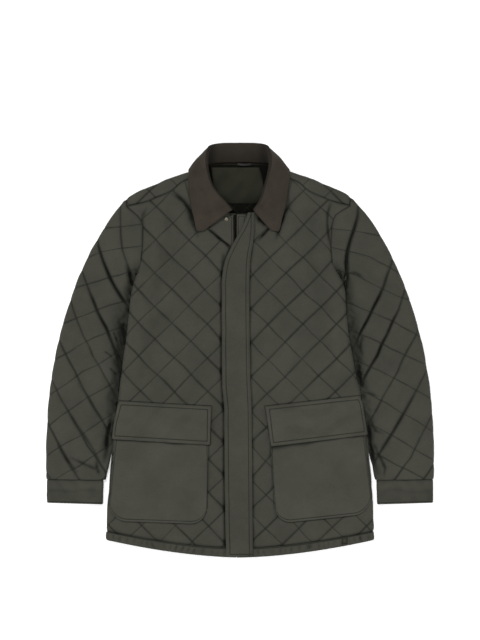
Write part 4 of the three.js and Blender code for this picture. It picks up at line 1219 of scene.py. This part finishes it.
def loft(rings, count):
    """Rings between the given ones, on smooth curves through their points."""
    gaps = [np.linalg.norm(b - a, axis=1).mean() for a, b in zip(rings, rings[1:])]
    keys = np.concatenate([[0], np.cumsum(gaps)])
    at = np.linspace(0, keys[-1], count)
    stack = np.array(rings)
    step = np.diff(keys)[:, None, None]
    slope = np.diff(stack, axis=0) / step
    mean = (slope[:-1] * step[1:] + slope[1:] * step[:-1]) / (step[1:] + step[:-1])
    limit = 2 * np.minimum(np.abs(slope[:-1]), np.abs(slope[1:]))
    mean = np.where(slope[:-1] * slope[1:] > 0, np.clip(mean, -limit, limit), 0)
    grade = np.concatenate([slope[:1], mean, slope[-1:]])
    i = np.clip(np.searchsorted(keys, at) - 1, 0, len(keys) - 2)
    t = ((at - keys[i]) / np.diff(keys)[i])[:, None, None]
    return between(stack, grade, step, i, t), at


def rest_flat(height, outward):
    """Nothing stands out from an underside that lies on the table."""
    return np.where(outward[..., 2] < -0.3, np.minimum(height, 0), height)


class JACKET_OT_sleeves(bpy.types.Operator):
    """Makes the two quilted sleeves, with their folds"""

    bl_idname = "jacket.sleeves"
    bl_label = "Sleeves"

    def execute(self, context):
        size = sizes()
        tops = round(SLEEVE_WIDE / size["step"])
        counts = (tops, 10, round(tops * 0.6), 10)
        for side in (-1, 1):
            name = side_name(side)
            rings = [armhole_ring(side, *counts)]
            for section in sections(SLEEVE):
                section["in_out"] = half_width(side, section["in_up"]) + section["beside"]
                rings.append(flat_ring(side, section, *counts))
            grid, way = loft(rings, round(SLEEVE_LONG / size["step"]))
            x, up = grid[..., 0], grid[..., 1]
            out = side * x
            # Past the last line of each kind the quilting goes on in squares of this size
            deep = curve_number(up, out, SLEEVE_LINES[name]["along"], 60)
            light = curve_number(out, up, SLEEVE_LINES[name]["across"], 62)
            outward = normals(grid, side, True)
            height = pillow(deep, light, x, up, size, 40 + side) + 1.3
            height = calm_sides(height, outward, 0.3)
            fold, hollow = folds(SLEEVE_CREASES[name], side, x, up)
            share = np.clip(np.arange(grid.shape[1]) / tops, 0, 1)[None, :]
            dome = 2.2 * 4 * share * (1 - share) * ease(way, 20, 90)[:, None]
            # Beside the body the sleeve sinks and crumples; under it, it stays high and carries it
            beside = out - half_width(side, up)
            zone = (1 - ease(up, 590, 640)) * ease(up, 205, 260)
            sunk = (1 - ease(beside, 0, 26)) * zone
            crush = 1.8 * waves(x, up, 19, 60 + side) * (1 - ease(beside, 6, 40))
            crush = crush * zone * (1 - ease(up, 500, 560))
            sink = 5.0 * sunk * ease(beside, -3, 6)
            shape = dome + fold + crush - sink + 0.7 * waves(x, up, 80, 50 + side)
            height = height + ease(outward[..., 2], 0.0, 0.5) * shape
            seam_dip = ARMHOLE_DIP * fade(way, 2.2)[:, None]
            height -= seam_dip + 1.4 * fade(way[-1] - way, 2.2)[:, None]
            height = rest_flat(height, outward)
            lowest = np.maximum(height, SLEEVE_LOWEST - grid[..., 2])
            height = np.where(outward[..., 2] > 0.5, lowest, height)
            # Shade is painted in the armhole seam's dip and where the sleeve sinks beside the body,
            # darker on the right sleeve, and only on its top side
            hollow = np.maximum(hollow, 0.75 * (seam_dip / ARMHOLE_DIP) ** 1.4)
            beside_body_shade = 0.95 if side < 0 else 0.75
            shade = beside_body_shade * sunk**1.6 * (0.7 + 0.3 * waves(x, up, 22, 64))
            hollow = np.clip(np.maximum(hollow, shade), 0, 1) * ease(outward[..., 2], -0.3, 0.1)
            outer, inner = padded(grid, outward, height, SLEEVE_WALL)
            outer[..., 2] = np.maximum(outer[..., 2], ON_TABLE)
            stitch = stitch_marks(deep, light)
            piece = cloth(f"cloth_sleeve_{name}", outer, inner, stitch, wrap=True, hollow=hollow)
            dress(piece, f"sleeve_{name}", material("shell"))
        return {"FINISHED"}


class JACKET_OT_cuffs(bpy.types.Operator):
    """Makes the two plain cuffs"""

    bl_idname = "jacket.cuffs"
    bl_label = "Cuffs"

    def execute(self, context):
        counts = (70, 8, 50, 8)
        share = spread(0, CUFF_LONG, 1.6, (0.3, 0.8, 1.4))[:, None, None] / CUFF_LONG
        along = share[..., 0] * CUFF_LONG
        bands = sections(CUFF, thick=CUFF_THICK, in_thick=CUFF_THICK, in_high=0, bow=0)
        for side in (-1, 1):
            name = side_name(side)
            first, last = (flat_ring(side, section, *counts) for section in bands)
            grid = first * (1 - share) + last * share
            x, up = grid[..., 0], grid[..., 1]
            outward = normals(grid, side, True)
            is_top = ease(outward[..., 2], 0, 0.5)
            # A soft dent wanders across the middle
            dent = 4 * waves(x, 0 * up, 90, 71)
            height = 0.5 * waves(x, up, 46, 70 + side)
            height += 1.2 * np.sin(math.pi * share[..., 0]) ** 0.6
            height -= 0.9 * mound(along - 24 - dent, 4.5)
            height -= 0.7 * mound(along - CUFF_LONG + CUFF_STITCH - 0.4, 0.9)
            height = height * is_top - 1.1 * fade(along, 0.9) - 1.2 * fade(CUFF_LONG - along, 0.8)
            outer, inner = padded(grid, outward, rest_flat(height, outward), CUFF_WALL)
            outer[..., 2] = np.maximum(outer[..., 2], ON_TABLE)
            line = (along - CUFF_LONG + CUFF_STITCH) / SQUARE
            stitch = stitch_marks(line + 0 * x, x / SQUARE, 1.0)
            # Shade is painted past the dent, at the seam to the sleeve and in random patches, on
            # the top side only
            past = along - 22 - dent
            lengthwise = 0.1 * ease(past, -4, 4) + 0.1 * mound(past, 4)
            uneven = 0.12 * np.clip(waves(x, up, 30, 72), 0, 1)
            hollow = (np.maximum(lengthwise, 0.7 * fade(along, 2.0)) + uneven) * is_top
            node = f"cuff_{name}"
            piece = cloth(f"cloth_{node}", outer, inner, stitch, wrap=True, hollow=hollow)
            dress(piece, node, material("smooth"))
        return {"FINISHED"}


# ---- Collar --------------------------------------------------------------------------------
def collar_sections(count):
    """Sections of the collar from one front end to the other, evenly along its leaf."""
    rows = len(COLLAR["turn"])
    stack = []
    for i, side in [(i, -1) for i in range(rows - 1, 0, -1)] + [(i, 1) for i in range(rows)]:
        fold_lean, edge_lean = COLLAR_LEAN["fold"][i], COLLAR_LEAN["edge"][i]
        leans = {
            "seam": fold_lean, "fold": fold_lean, "leaf": (fold_lean + edge_lean) / 2,
            "edge": edge_lean,
        }
        points = []
        for part, lean in leans.items():
            out, up, high = (COLLAR[f"{part}_{way}"][i] for way in ("out", "up", "high"))
            points.append(np.array([side * out + lean, up, high]))
        inward = (points[0] - points[3]) * (1, 1, 0)
        if COLLAR["turn"][i] > 90:
            rise = COLLAR["seam_up"][i] - COLLAR["fold_up"][i]
            inward = np.array([-side * COLLAR["fold_out"][i] * 0.35, rise, 0])
        inward = inward / np.linalg.norm(inward)
        stack.append(np.concatenate([*points, inward, [math.radians(COLLAR["turn"][i])]]))
    stack = np.array(stack)
    keys = run_of((stack[:, 3:6] + stack[:, 9:12]) / 2)
    at = spread(0, keys[-1], keys[-1] / count, (0.4, 1.0, 1.8))
    return np.stack([smooth(keys, stack[:, i], at) for i in range(stack.shape[1])], -1), at


class JACKET_OT_collar(bpy.types.Operator):
    """Makes the corduroy collar: its stand, fold and leaf"""

    bl_idname = "jacket.collar"
    bl_label = "Collar"

    def execute(self, context):
        made, at = collar_sections(230)
        seam, fold, leaf, edge, inward = (made[:, i : i + 3] for i in range(0, 15, 3))
        inward = inward / np.linalg.norm(inward, axis=1, keepdims=True)
        cos, sin = np.cos(made[:, 15:16]), np.sin(made[:, 15:16])
        upward = np.array([[0, 0, 1.0]])
        tip_way = inward * cos + upward * sin
        over_way = upward * cos - inward * sin
        centre = fold - tip_way * COLLAR_FOLD
        around = [
            centre + COLLAR_FOLD * (over_way * math.sin(t) + tip_way * math.cos(t))
            for t in np.linspace(-math.pi / 2, math.pi / 2, 11)
        ]
        stand = [seam + (around[0] - seam) * share for share in np.linspace(0, 1, 12)[:-1]]
        # The leaf bows from the fold through the leaf's middle to its edge
        bow = [
            around[-1] * (1 - share) * (1 - 2 * share) + 4 * leaf * share * (1 - share)
            + edge * share * (2 * share - 1)
            for share in spread(0, 1, 0.038, (0.012,))[1:]
        ]
        grid = np.stack(stand + around + bow, 1)
        leaf_part = (np.arange(grid.shape[1]) >= len(stand + around))[None, :]
        least = np.where(leaf_part, LEAF_CLEAR, -math.inf)
        grid[..., 2] = np.maximum(grid[..., 2], least)
        x, up, high = grid[..., 0], grid[..., 1], grid[..., 2]
        to_edge = np.linalg.norm(grid - grid[:, -1:], axis=2)
        near = nearest(to_edge, np.minimum(at, at[-1] - at)[:, None])
        visible = leaf_part & (high > 6)
        height = 0.5 * waves(x, up, 46, 80) + 0.25 * waves(x, up, 19, 81)
        border = 0.3 * mound(near - 3.0, 2.0) - 0.3 * mound(near - 6, 1.3)
        height = np.where(visible, height + border, 0.2 * height)
        height = height - np.where(leaf_part, 1.1 * fade(near, 0.8), 0)
        outer, inner = padded(grid, normals(grid, -1), height, CORD_WALL, 0.6)
        for layer in (outer, inner):
            layer[..., 2] = np.maximum(layer[..., 2], ON_TABLE)
        grain = np.stack([at[:, None] / WALE + 0 * x, to_edge / WALE, np.zeros_like(x)], -1)
        # Painted shade on the stand, which the neck shades, more so toward its seam and under the
        # turned leaves, and along the leaf's edges
        into_neck = np.clip((fold[:, None, 1] - up) / 40, 0, 1) + 0.8 * ease(np.abs(x + 5), 38, 56)
        hollow = (0.2 + 0.4 * into_neck) * ~leaf_part + 0.25 * fade(near, 2.0) * visible
        piece = cloth("cloth_collar", outer, inner, grain=grain, hollow=np.clip(hollow, 0, 1))
        dress(
            piece, "collar", material("corduroy"),
        )
        return {"FINISHED"}


# ---- Pockets -------------------------------------------------------------------------------
def patch(side, corners, across, shares, roundness, high):
    """A patch over a front between four corners, with its low corners cut round."""
    inner_top, outer_top, outer_low, inner_low = corners
    width = outer_low[0] - inner_low[0]
    share, over = np.meshgrid(shares, across, indexing="ij")
    cut = np.clip(1 - np.minimum(over, 1 - over) * width / roundness, 0, 1)
    raised = roundness * (1 - np.sqrt(1 - cut**2))
    top = inner_top[1] + (outer_top[1] - inner_top[1]) * over
    low = inner_low[1] + (outer_low[1] - inner_low[1]) * over + raised
    up = low + (top - low) * share
    inner = inner_low[0] + (inner_top[0] - inner_low[0]) * share
    outer = outer_low[0] + (outer_top[0] - outer_low[0]) * share
    end = np.minimum(outer, half_width(side, up) - PATCH_LIMIT)
    out = inner + (end - inner) * over
    return over_front(side, out, up, high(share)), out, up


def bag_high(share):
    """The bag lies evenly on its front."""
    return LYING + SMOOTH_WALL + 0 * share


def flap_high(share):
    """The flap lies over the bag, and comes down to the front at its top seam."""
    return SMOOTH_WALL + FLAP_HEIGHT + (LYING - FLAP_HEIGHT) * ease(share, 0.84, 1)


def distance_in(grid):
    """How far each point of a grid is from its four edges: low, top, inner, outer."""
    along, across = run_of(grid), run_of(grid, 1)
    return along, along[-1:] - along, across, across[:, -1:] - across


def welt(near, inset, rise=0.55, groove=0.75):
    """A topstitched border: its puffed edge, the stitch line's groove, and the turned edge."""
    height = rise * mound(near - inset * 0.5, inset * 0.42)
    return height - groove * mound(near - inset, 1.0) - fade(near, 0.7)


def make_patch(side, node, corners, shares, roundness, high, inset, form):
    """A pocket bag or a flap: its form gives the height of its cloth and the shade painted on it.
    """
    across = spread(0, 1, 0.0115, (0.0025, 0.006, 0.011))
    grid, out, up = patch(side, corners, across, shares, roundness, high)
    low, top, inner, outer = distance_in(grid)
    x = side * out
    near, height, hollow = form(side, x, up, low, top, inner, outer)
    run = np.where(np.minimum(low, top) < np.minimum(inner, outer), inner, low)
    outer_side, inner_side = padded(grid, normals(grid, side), height, SMOOTH_WALL, 0.7)
    stitch = topstitch_marks(near - inset, run)
    piece = cloth(f"cloth_{node}", outer_side, inner_side, stitch, hollow=hollow)
    dress(piece, node, material("patch"))


def bag_form(side, x, up, low, top, inner, outer):
    """The bag bellies a little, is pressed flat where its flap lies on it, and has shade painted
    under the flap's edge.
    """
    near = nearest(low, inner, outer)
    height = 0.9 * waves(x, up, 105, 90 + side) + 0.25 * waves(x, up, 34, 91)
    lengthwise, crosswise = (np.sin(math.pi * np.clip(s, 0, 1)) for s in (low / 220, inner / 190))
    height += 1.6 * lengthwise * crosswise
    outer_low, inner_low = POCKETS[side_name(side)]["flap"][2:]
    share = (side * x - inner_low[0]) / (outer_low[0] - inner_low[0])
    flap_low = inner_low[1] + (outer_low[1] - inner_low[1]) * share
    pressed = height * (1 - ease(up, flap_low - 5, flap_low + 2))
    height = np.where(height > 0, pressed, height) + welt(near, BAG_STITCH, 0.35, 0.55)
    # The painted shade under the flap's edge is wider at the inner end of the left flap
    reach = 2.4 + waves(x, 0 * up, 60, 97)
    if side > 0:
        reach = reach + 4.5 * (1 - ease(share, 0.1, 0.6))
    return near, height, 0.9 * mound(np.maximum(flap_low - up, 0), reach)


def flap_form(side, x, up, low, top, inner, outer):
    """The flap has a stitched border all round."""
    inset = sizes()["border"]
    near = nearest(low, top, inner, outer)
    height = 0.6 * waves(x, up, 90, 94 + side) + 0.2 * waves(x, up, 30, 95) + welt(near, inset)
    # Shade is painted along the stitch line's groove, with random darker patches
    uneven = 0.1 * np.clip(waves(x, up, 40, 98), 0, 1)
    return near, height, 0.1 * mound(near - inset, 1.6) + uneven


class JACKET_OT_pockets(bpy.types.Operator):
    """Makes the two patch pockets and their flaps"""

    bl_idname = "jacket.pockets"
    bl_label = "Pockets"

    def execute(self, context):
        for side in (-1, 1):
            name = side_name(side)
            front, bag, flap = f"front_{name}", f"pocket_{name}", f"flap_{name}"
            make_patch(
                side, bag, POCKETS[name]["bag"], spread(0, 1, 0.0115, (0.002, 0.005, 0.009)),
                POCKET_ROUND, bag_high, BAG_STITCH, bag_form,
            )
            make_patch(
                side, flap, POCKETS[name]["flap"], spread(0, 1, 0.032, (0.006, 0.015, 0.03)),
                FLAP_ROUND, flap_high, sizes()["border"], flap_form,
            )
        return {"FINISHED"}


# ---- Fly: placket, zip and its guard -------------------------------------------------------
def strip(node, rights, lefts, high, step, inset, kind):
    """A thin flat strip between two edges, each a row of [x, up], with a row of topstitching."""
    rights, lefts = np.array(rights, float), np.array(lefts, float)
    way = run_of((rights + lefts) / 2)
    at = spread(0, way[-1], step)
    first, last = (
        np.stack([np.interp(at, way, edge[:, i]) for i in (0, 1)], -1) for edge in (rights, lefts)
    )
    width = np.linalg.norm(rights - lefts, axis=1).max()
    over = spread(0, 1, step / width, (0.4 / width, 1.0 / width))
    plan = first[:, None] + (last - first)[:, None] * over[None, :, None]
    grid = np.concatenate([plan, np.full((*plan.shape[:2], 1), high + THIN_WALL)], -1)
    near = nearest(*distance_in(grid))
    x, up = grid[..., 0], grid[..., 1]
    height = 0.15 * waves(x, up, 25, 7) - 0.5 * fade(near, 0.6) - 0.3 * mound(near - inset, 0.9)
    outer = grid + np.array([0, 0, 1.0]) * height[..., None]
    inner = grid - np.array([0, 0, THIN_WALL])
    piece = cloth(f"cloth_{node}", outer, inner, topstitch_marks(near - inset, up))
    dress(piece, node, material(kind))


class JACKET_OT_placket(bpy.types.Operator):
    """Makes the storm placket over the zip, turned back at its top"""

    bl_idname = "jacket.placket"
    bl_label = "Placket"

    def execute(self, context):
        ups = spread(PLACKET["up"][0], PLACKET["up"][-1], 2.4)
        free, seam = (smooth(PLACKET["up"], PLACKET[key], ups) for key in ("free", "seam"))
        free = free + 0.4 * waves(ups, 0 * ups, 70, 8) * (ups < 600)
        over = spread(0, 1, 2.0 / 54, (0.008, 0.02, 0.035))
        width = (seam - free)[:, None]
        from_free = over[None, :] * width
        from_seam = width - from_free
        x = free[:, None] + from_free
        up = ups[:, None] + 0 * x
        from_low = up - ups[0]
        # It stands up over the zip, less so at its free edge below the turned corner
        rise = np.where(up > 625, 1, ease(from_free, 0, 5) * 0.4 + 0.6)
        high = LYING + (FLY_HIGH - LYING) * ease(from_seam, 0, 6) * rise
        height = 0.35 * waves(x, up, 85, 9) + 0.12 * waves(x, up, 22, 12)
        # A groove at each row of stitches, and a puffed edge outside it
        height -= 0.9 * mound(from_free - FREE_STITCH, 1.1)
        height -= 0.8 * mound(from_seam - SEWN_STITCH, 1.1)
        height += 0.6 * mound(from_free - 4.2, 2.6) + 0.5 * mound(from_seam - 3.5, 2.2)
        height -= 0.6 * mound(from_low - END_STITCH, 1.0)
        height -= fade(nearest(from_free, from_low, ups[-1] - up), 0.7)
        outer = np.stack([x, up, BODY_THICK + high + SMOOTH_WALL + height], -1)
        inner = np.stack([x, up, BODY_THICK + high], -1)
        line = np.minimum(from_free - FREE_STITCH, from_low - END_STITCH)
        other = from_seam - SEWN_STITCH
        line = np.where(np.abs(line) < np.abs(other), line, other)
        piece = cloth("cloth_placket", outer, inner, topstitch_marks(line, up))
        dress(
            piece, "placket", material("smooth"),
        )
        return {"FINISHED"}


class JACKET_OT_zip(bpy.types.Operator):
    """Makes the zip's tape and teeth, its guard, and the plain corner at the top of the front"""

    bl_idname = "jacket.zip"
    bl_label = "Zip and guard"

    def execute(self, context):
        floor = BODY_THICK + SEAM
        left, right, guard = 0.6 - ZIP_OUT, 0.6 - ZIP_OUT - 6.1, 1.2 - ZIP_OUT
        strip(
            "zip", [[right, 16], [right, FLY_TOP]], [[left, 16], [left, FLY_TOP]], floor, 2.0, 2.0,
            "tape",
        )
        strip(
            "zip_guard", [[guard, 560], [guard, FLY_TOP]], [[12, 560], [12, FLY_TOP]], floor, 2.0,
            3.0, "smooth",
        )
        strip(
            "fly_corner", [[-31, 664], [-64, 692], [-38, 708]],
            [[-14.5, 652], [-14.5, 690], [-14.5, FLY_TOP]], floor, 2.0, 3.0,
            "smooth",
        )
        corners = np.array([[x, y, z] for z in (0, 1) for y in (0, 1) for x in (0, 1)], float)
        box = (corners - (0.5, 0.5, 0)) * TOOTH
        sides = np.array([
            [0, 2, 3, 1], [4, 5, 7, 6], [0, 1, 5, 4], [2, 6, 7, 3], [0, 4, 6, 2], [1, 3, 7, 5],
        ])
        points, faces = [], []
        for i in range(TEETH):
            faces.extend(sides + len(points))
            up = TEETH_FROM + i * TEETH_APART
            points.extend(box + (left - TOOTH[0], up, floor + THIN_WALL - 0.1))
        teeth = solid("zip_teeth", points, faces)
        teeth.data.materials.append(material("teeth"))
        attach(teeth, "root")
        return {"FINISHED"}


# ---- Trims ---------------------------------------------------------------------------------
def make_lining():
    """The neck lining, with shade painted at its right edge and low end, and a crescent of painted
    shade at the left.
    """
    ups = spread(744.5, 819.5, 2.2, (0.6, 1.4))
    right = np.interp(ups, (744, 770, 820), (-47, -55, -60))[:, None]
    left = np.interp(ups, (744, 777, 806, 820), (50, 50, 46.5, 40))[:, None]
    x = right + (left - right) * spread(0, 1, 0.024, (0.006, 0.014))[None, :]
    up = ups[:, None] + 0 * x
    high = body_lift(1, np.abs(x), up) + QUILT_WALL + LYING + THIN_WALL
    near = nearest(x - right, left - x, up - ups[0], ups[-1] - up)
    height = 0.5 * waves(x, up, 40, 15) + 0.4 * waves(x, up, 90, 16) - 0.6 * fade(near, 1.5)
    outer = np.stack([x, up, high + height], -1)
    inner = np.stack([x, up, high - THIN_WALL], -1)
    # Painted shade at the right edge, at the low end and in a crescent at the left, with random
    # darker patches
    depth = np.maximum(0.55 * fade(x - right, 7), 0.5 * fade(up - ups[0], 14))
    crescent = mound(x - np.interp(up, (744, 790, 820), (54, 51, 43)), 3.8) * ease(up, 770, 790)
    uneven = 0.15 * np.clip(waves(x, up, 45, 17), -1, 1)
    hollow = np.clip(np.maximum(depth, 0.85 * crescent) + uneven, 0, 1)
    stitch = stitch_marks(np.full_like(x, NO_LINE), x / SQUARE, 1.0)
    piece = cloth("cloth_neck_lining", outer, inner, stitch, hollow=hollow)
    dress(piece, "neck_lining", material("lining"))


def make_loop():
    """The hanger loop, a tape bowed up in its middle."""
    way = np.linspace(-1, 1, 40)
    bow = 1 - way**2
    middle = np.stack([9 + 14 * way, 826.6 - 1.6 * bow, 13.2 + 1.8 * bow], -1)
    side = np.cross(np.gradient(middle, axis=0), [0, 0, 1.0])
    side /= np.linalg.norm(side, axis=1, keepdims=True)
    grid = middle[:, None] + side[:, None] * np.linspace(-2.2, 2.2, 7)[None, :, None]
    bulge = np.stack([np.zeros(7), np.zeros(7), 0.25 * np.cos(np.linspace(-1.3, 1.3, 7))], -1)[None]
    unsewn = np.full(grid.shape[:2], NO_LINE)
    stitch = stitch_marks(unsewn, unsewn, 1.0)
    piece = cloth("cloth_hanger_loop", grid + bulge, grid - np.array([0, 0, THIN_WALL]), stitch)
    dress(piece, "hanger_loop", material("loop"))


def make_stud():
    """The snap stud, turned from its profile."""
    base = BODY_THICK + 2 * SEAM + THIN_WALL
    turns = np.linspace(0, 2 * math.pi, 49)[:-1]
    count, rings = len(turns), STUD_PROFILE[1:-1]
    points = [
        (STUD_X + r * math.cos(t), STUD_UP + r * math.sin(t), base + z)
        for r, z in rings for t in turns
    ]
    points += [(STUD_X, STUD_UP, base + z) for z in (STUD_PROFILE[0][1], STUD_PROFILE[-1][1])]
    top, bottom, last = len(points) - 2, len(points) - 1, (len(rings) - 1) * count
    pairs = [(i, (i + 1) % count) for i in range(count)]
    faces = [
        [start + i, start + count + i, start + count + j, start + j]
        for start in range(0, last, count) for i, j in pairs
    ]
    faces += [[top, i, j] for i, j in pairs]
    faces += [[bottom, last + j, last + i] for i, j in pairs]
    stud = solid("stud", points, faces)
    stud.data.materials.append(material("metal"))
    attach(stud, "root")
    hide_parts("snap_stud")


class JACKET_OT_trims(bpy.types.Operator):
    """Makes the neck lining, the hanger loop, the bare hem tab and the snap stud"""

    bl_idname = "jacket.trims"
    bl_label = "Trims"

    def execute(self, context):
        make_lining()
        make_loop()
        right, left = 213, 225.5
        low = hem_curve(left) + 2.5
        strip(
            "hem_tab", [[right, low], [right, low + 15]], [[left, low], [left, low + 15]],
            BODY_THICK + LYING, 1.2, 1.6, "tab",
        )
        make_stud()
        return {"FINISHED"}


# ---- Stage ---------------------------------------------------------------------------------
# Metres: the table's half width and its top, and the camera's height, place up the table and
# width of view
TABLE_HALF, TABLE_TOP = 6, -0.0006
CAMERA_HIGH, CAMERA_UP, VIEW_WIDE = 6.0, 0.0633, 1.344
# Soft round lamps: place, size and power. The key lies beyond the collar.
LAMPS = {
    "key": ((-1.0, 2.2, 4.2), 1.8, 132), "fill": ((0.6, -2.4, 4.0), 2.4, 60),
    "right_side": ((-1.5, -0.5, 0.9), 0.8, 8), "left_side": ((1.5, -0.5, 0.9), 0.8, 8),
}


class JACKET_OT_stage(bpy.types.Operator):
    """Makes the white table, the soft studio light and the camera straight above"""

    bl_idname = "jacket.stage"
    bl_label = "Stage"

    def execute(self, context):
        scene = context.scene
        scene.view_settings.view_transform = "Standard"
        corners = ((-1, -1), (1, -1), (1, 1), (-1, 1))
        mesh = bpy.data.meshes.new("table")
        points = [(x * TABLE_HALF, y * TABLE_HALF, TABLE_TOP) for x, y in corners]
        mesh.from_pydata(points, [], [(0, 1, 2, 3)])
        floor = bpy.data.objects.new("table", mesh)
        scene.collection.objects.link(floor)
        # Matt white card that glows a little, so that it stays white to its edges
        white = start_material(
            "white_table", Base_Color=(0.9, 0.9, 0.9, 1), Roughness=0.9, Specular_IOR_Level=0.1,
            Emission_Color=(1, 1, 1, 1), Emission_Strength=0.4,
        )[0]
        mesh.materials.append(white)

        scene.world = bpy.data.worlds.new("studio")
        scene.world.use_nodes = True
        sky = scene.world.node_tree.nodes["Background"]
        sky.inputs["Color"].default_value = (1, 1, 1, 1)
        sky.inputs["Strength"].default_value = 0.28
        for name, (place, size, power) in LAMPS.items():
            light = bpy.data.lights.new(name, "AREA")
            light.shape, light.size, light.energy = "DISK", size, power
            lamp = bpy.data.objects.new(name, light)
            lamp.location = place
            lamp.rotation_euler = (-Vector(place)).to_track_quat("-Z", "Y").to_euler()
            scene.collection.objects.link(lamp)

        camera = bpy.data.cameras.new("camera")
        camera.sensor_width = 36
        camera.lens = camera.sensor_width * CAMERA_HIGH / VIEW_WIDE
        eye = bpy.data.objects.new("camera", camera)
        eye.location = (0, CAMERA_UP, CAMERA_HIGH)
        scene.collection.objects.link(eye)
        scene.camera = eye
        return {"FINISHED"}


class JACKET_PT_panel(bpy.types.Panel):
    """Lists the sizes, the colours and every operator in their order"""

    bl_label = "Jacket"
    bl_space_type = "VIEW_3D"
    bl_region_type = "UI"
    bl_category = "Jacket"

    def draw(self, context):
        for name in JacketSizes.__annotations__:
            self.layout.prop(context.scene.jacket_sizes, name)
        for name in JacketColours.__annotations__:
            self.layout.prop(context.scene.jacket_colours, name)
        for step in STEPS:
            self.layout.operator(step.bl_idname)


STEPS = (
    JACKET_OT_back, JACKET_OT_fronts, JACKET_OT_hem, JACKET_OT_sleeves, JACKET_OT_cuffs,
    JACKET_OT_collar, JACKET_OT_pockets, JACKET_OT_placket, JACKET_OT_zip, JACKET_OT_trims,
    JACKET_OT_stage,
)
CLASSES = (JacketSizes, JacketColours, *STEPS, JACKET_PT_panel)


def register():
    """Adds the classes, and their settings to the scene."""
    for kind in CLASSES:
        bpy.utils.register_class(kind)
    bpy.types.Scene.jacket_sizes = PointerProperty(type=JacketSizes)
    bpy.types.Scene.jacket_colours = PointerProperty(type=JacketColours)


def unregister():
    """Takes them away again."""
    del bpy.types.Scene.jacket_colours
    del bpy.types.Scene.jacket_sizes
    for kind in reversed(CLASSES):
        bpy.utils.unregister_class(kind)


def main():
    """Makes every piece in order."""
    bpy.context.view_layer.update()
    register()
    for step in STEPS:
        group, name = step.bl_idname.split(".")
        getattr(getattr(bpy.ops, group), name)()
    bpy.context.view_layer.update()


if __name__ == "__main__":
    main()
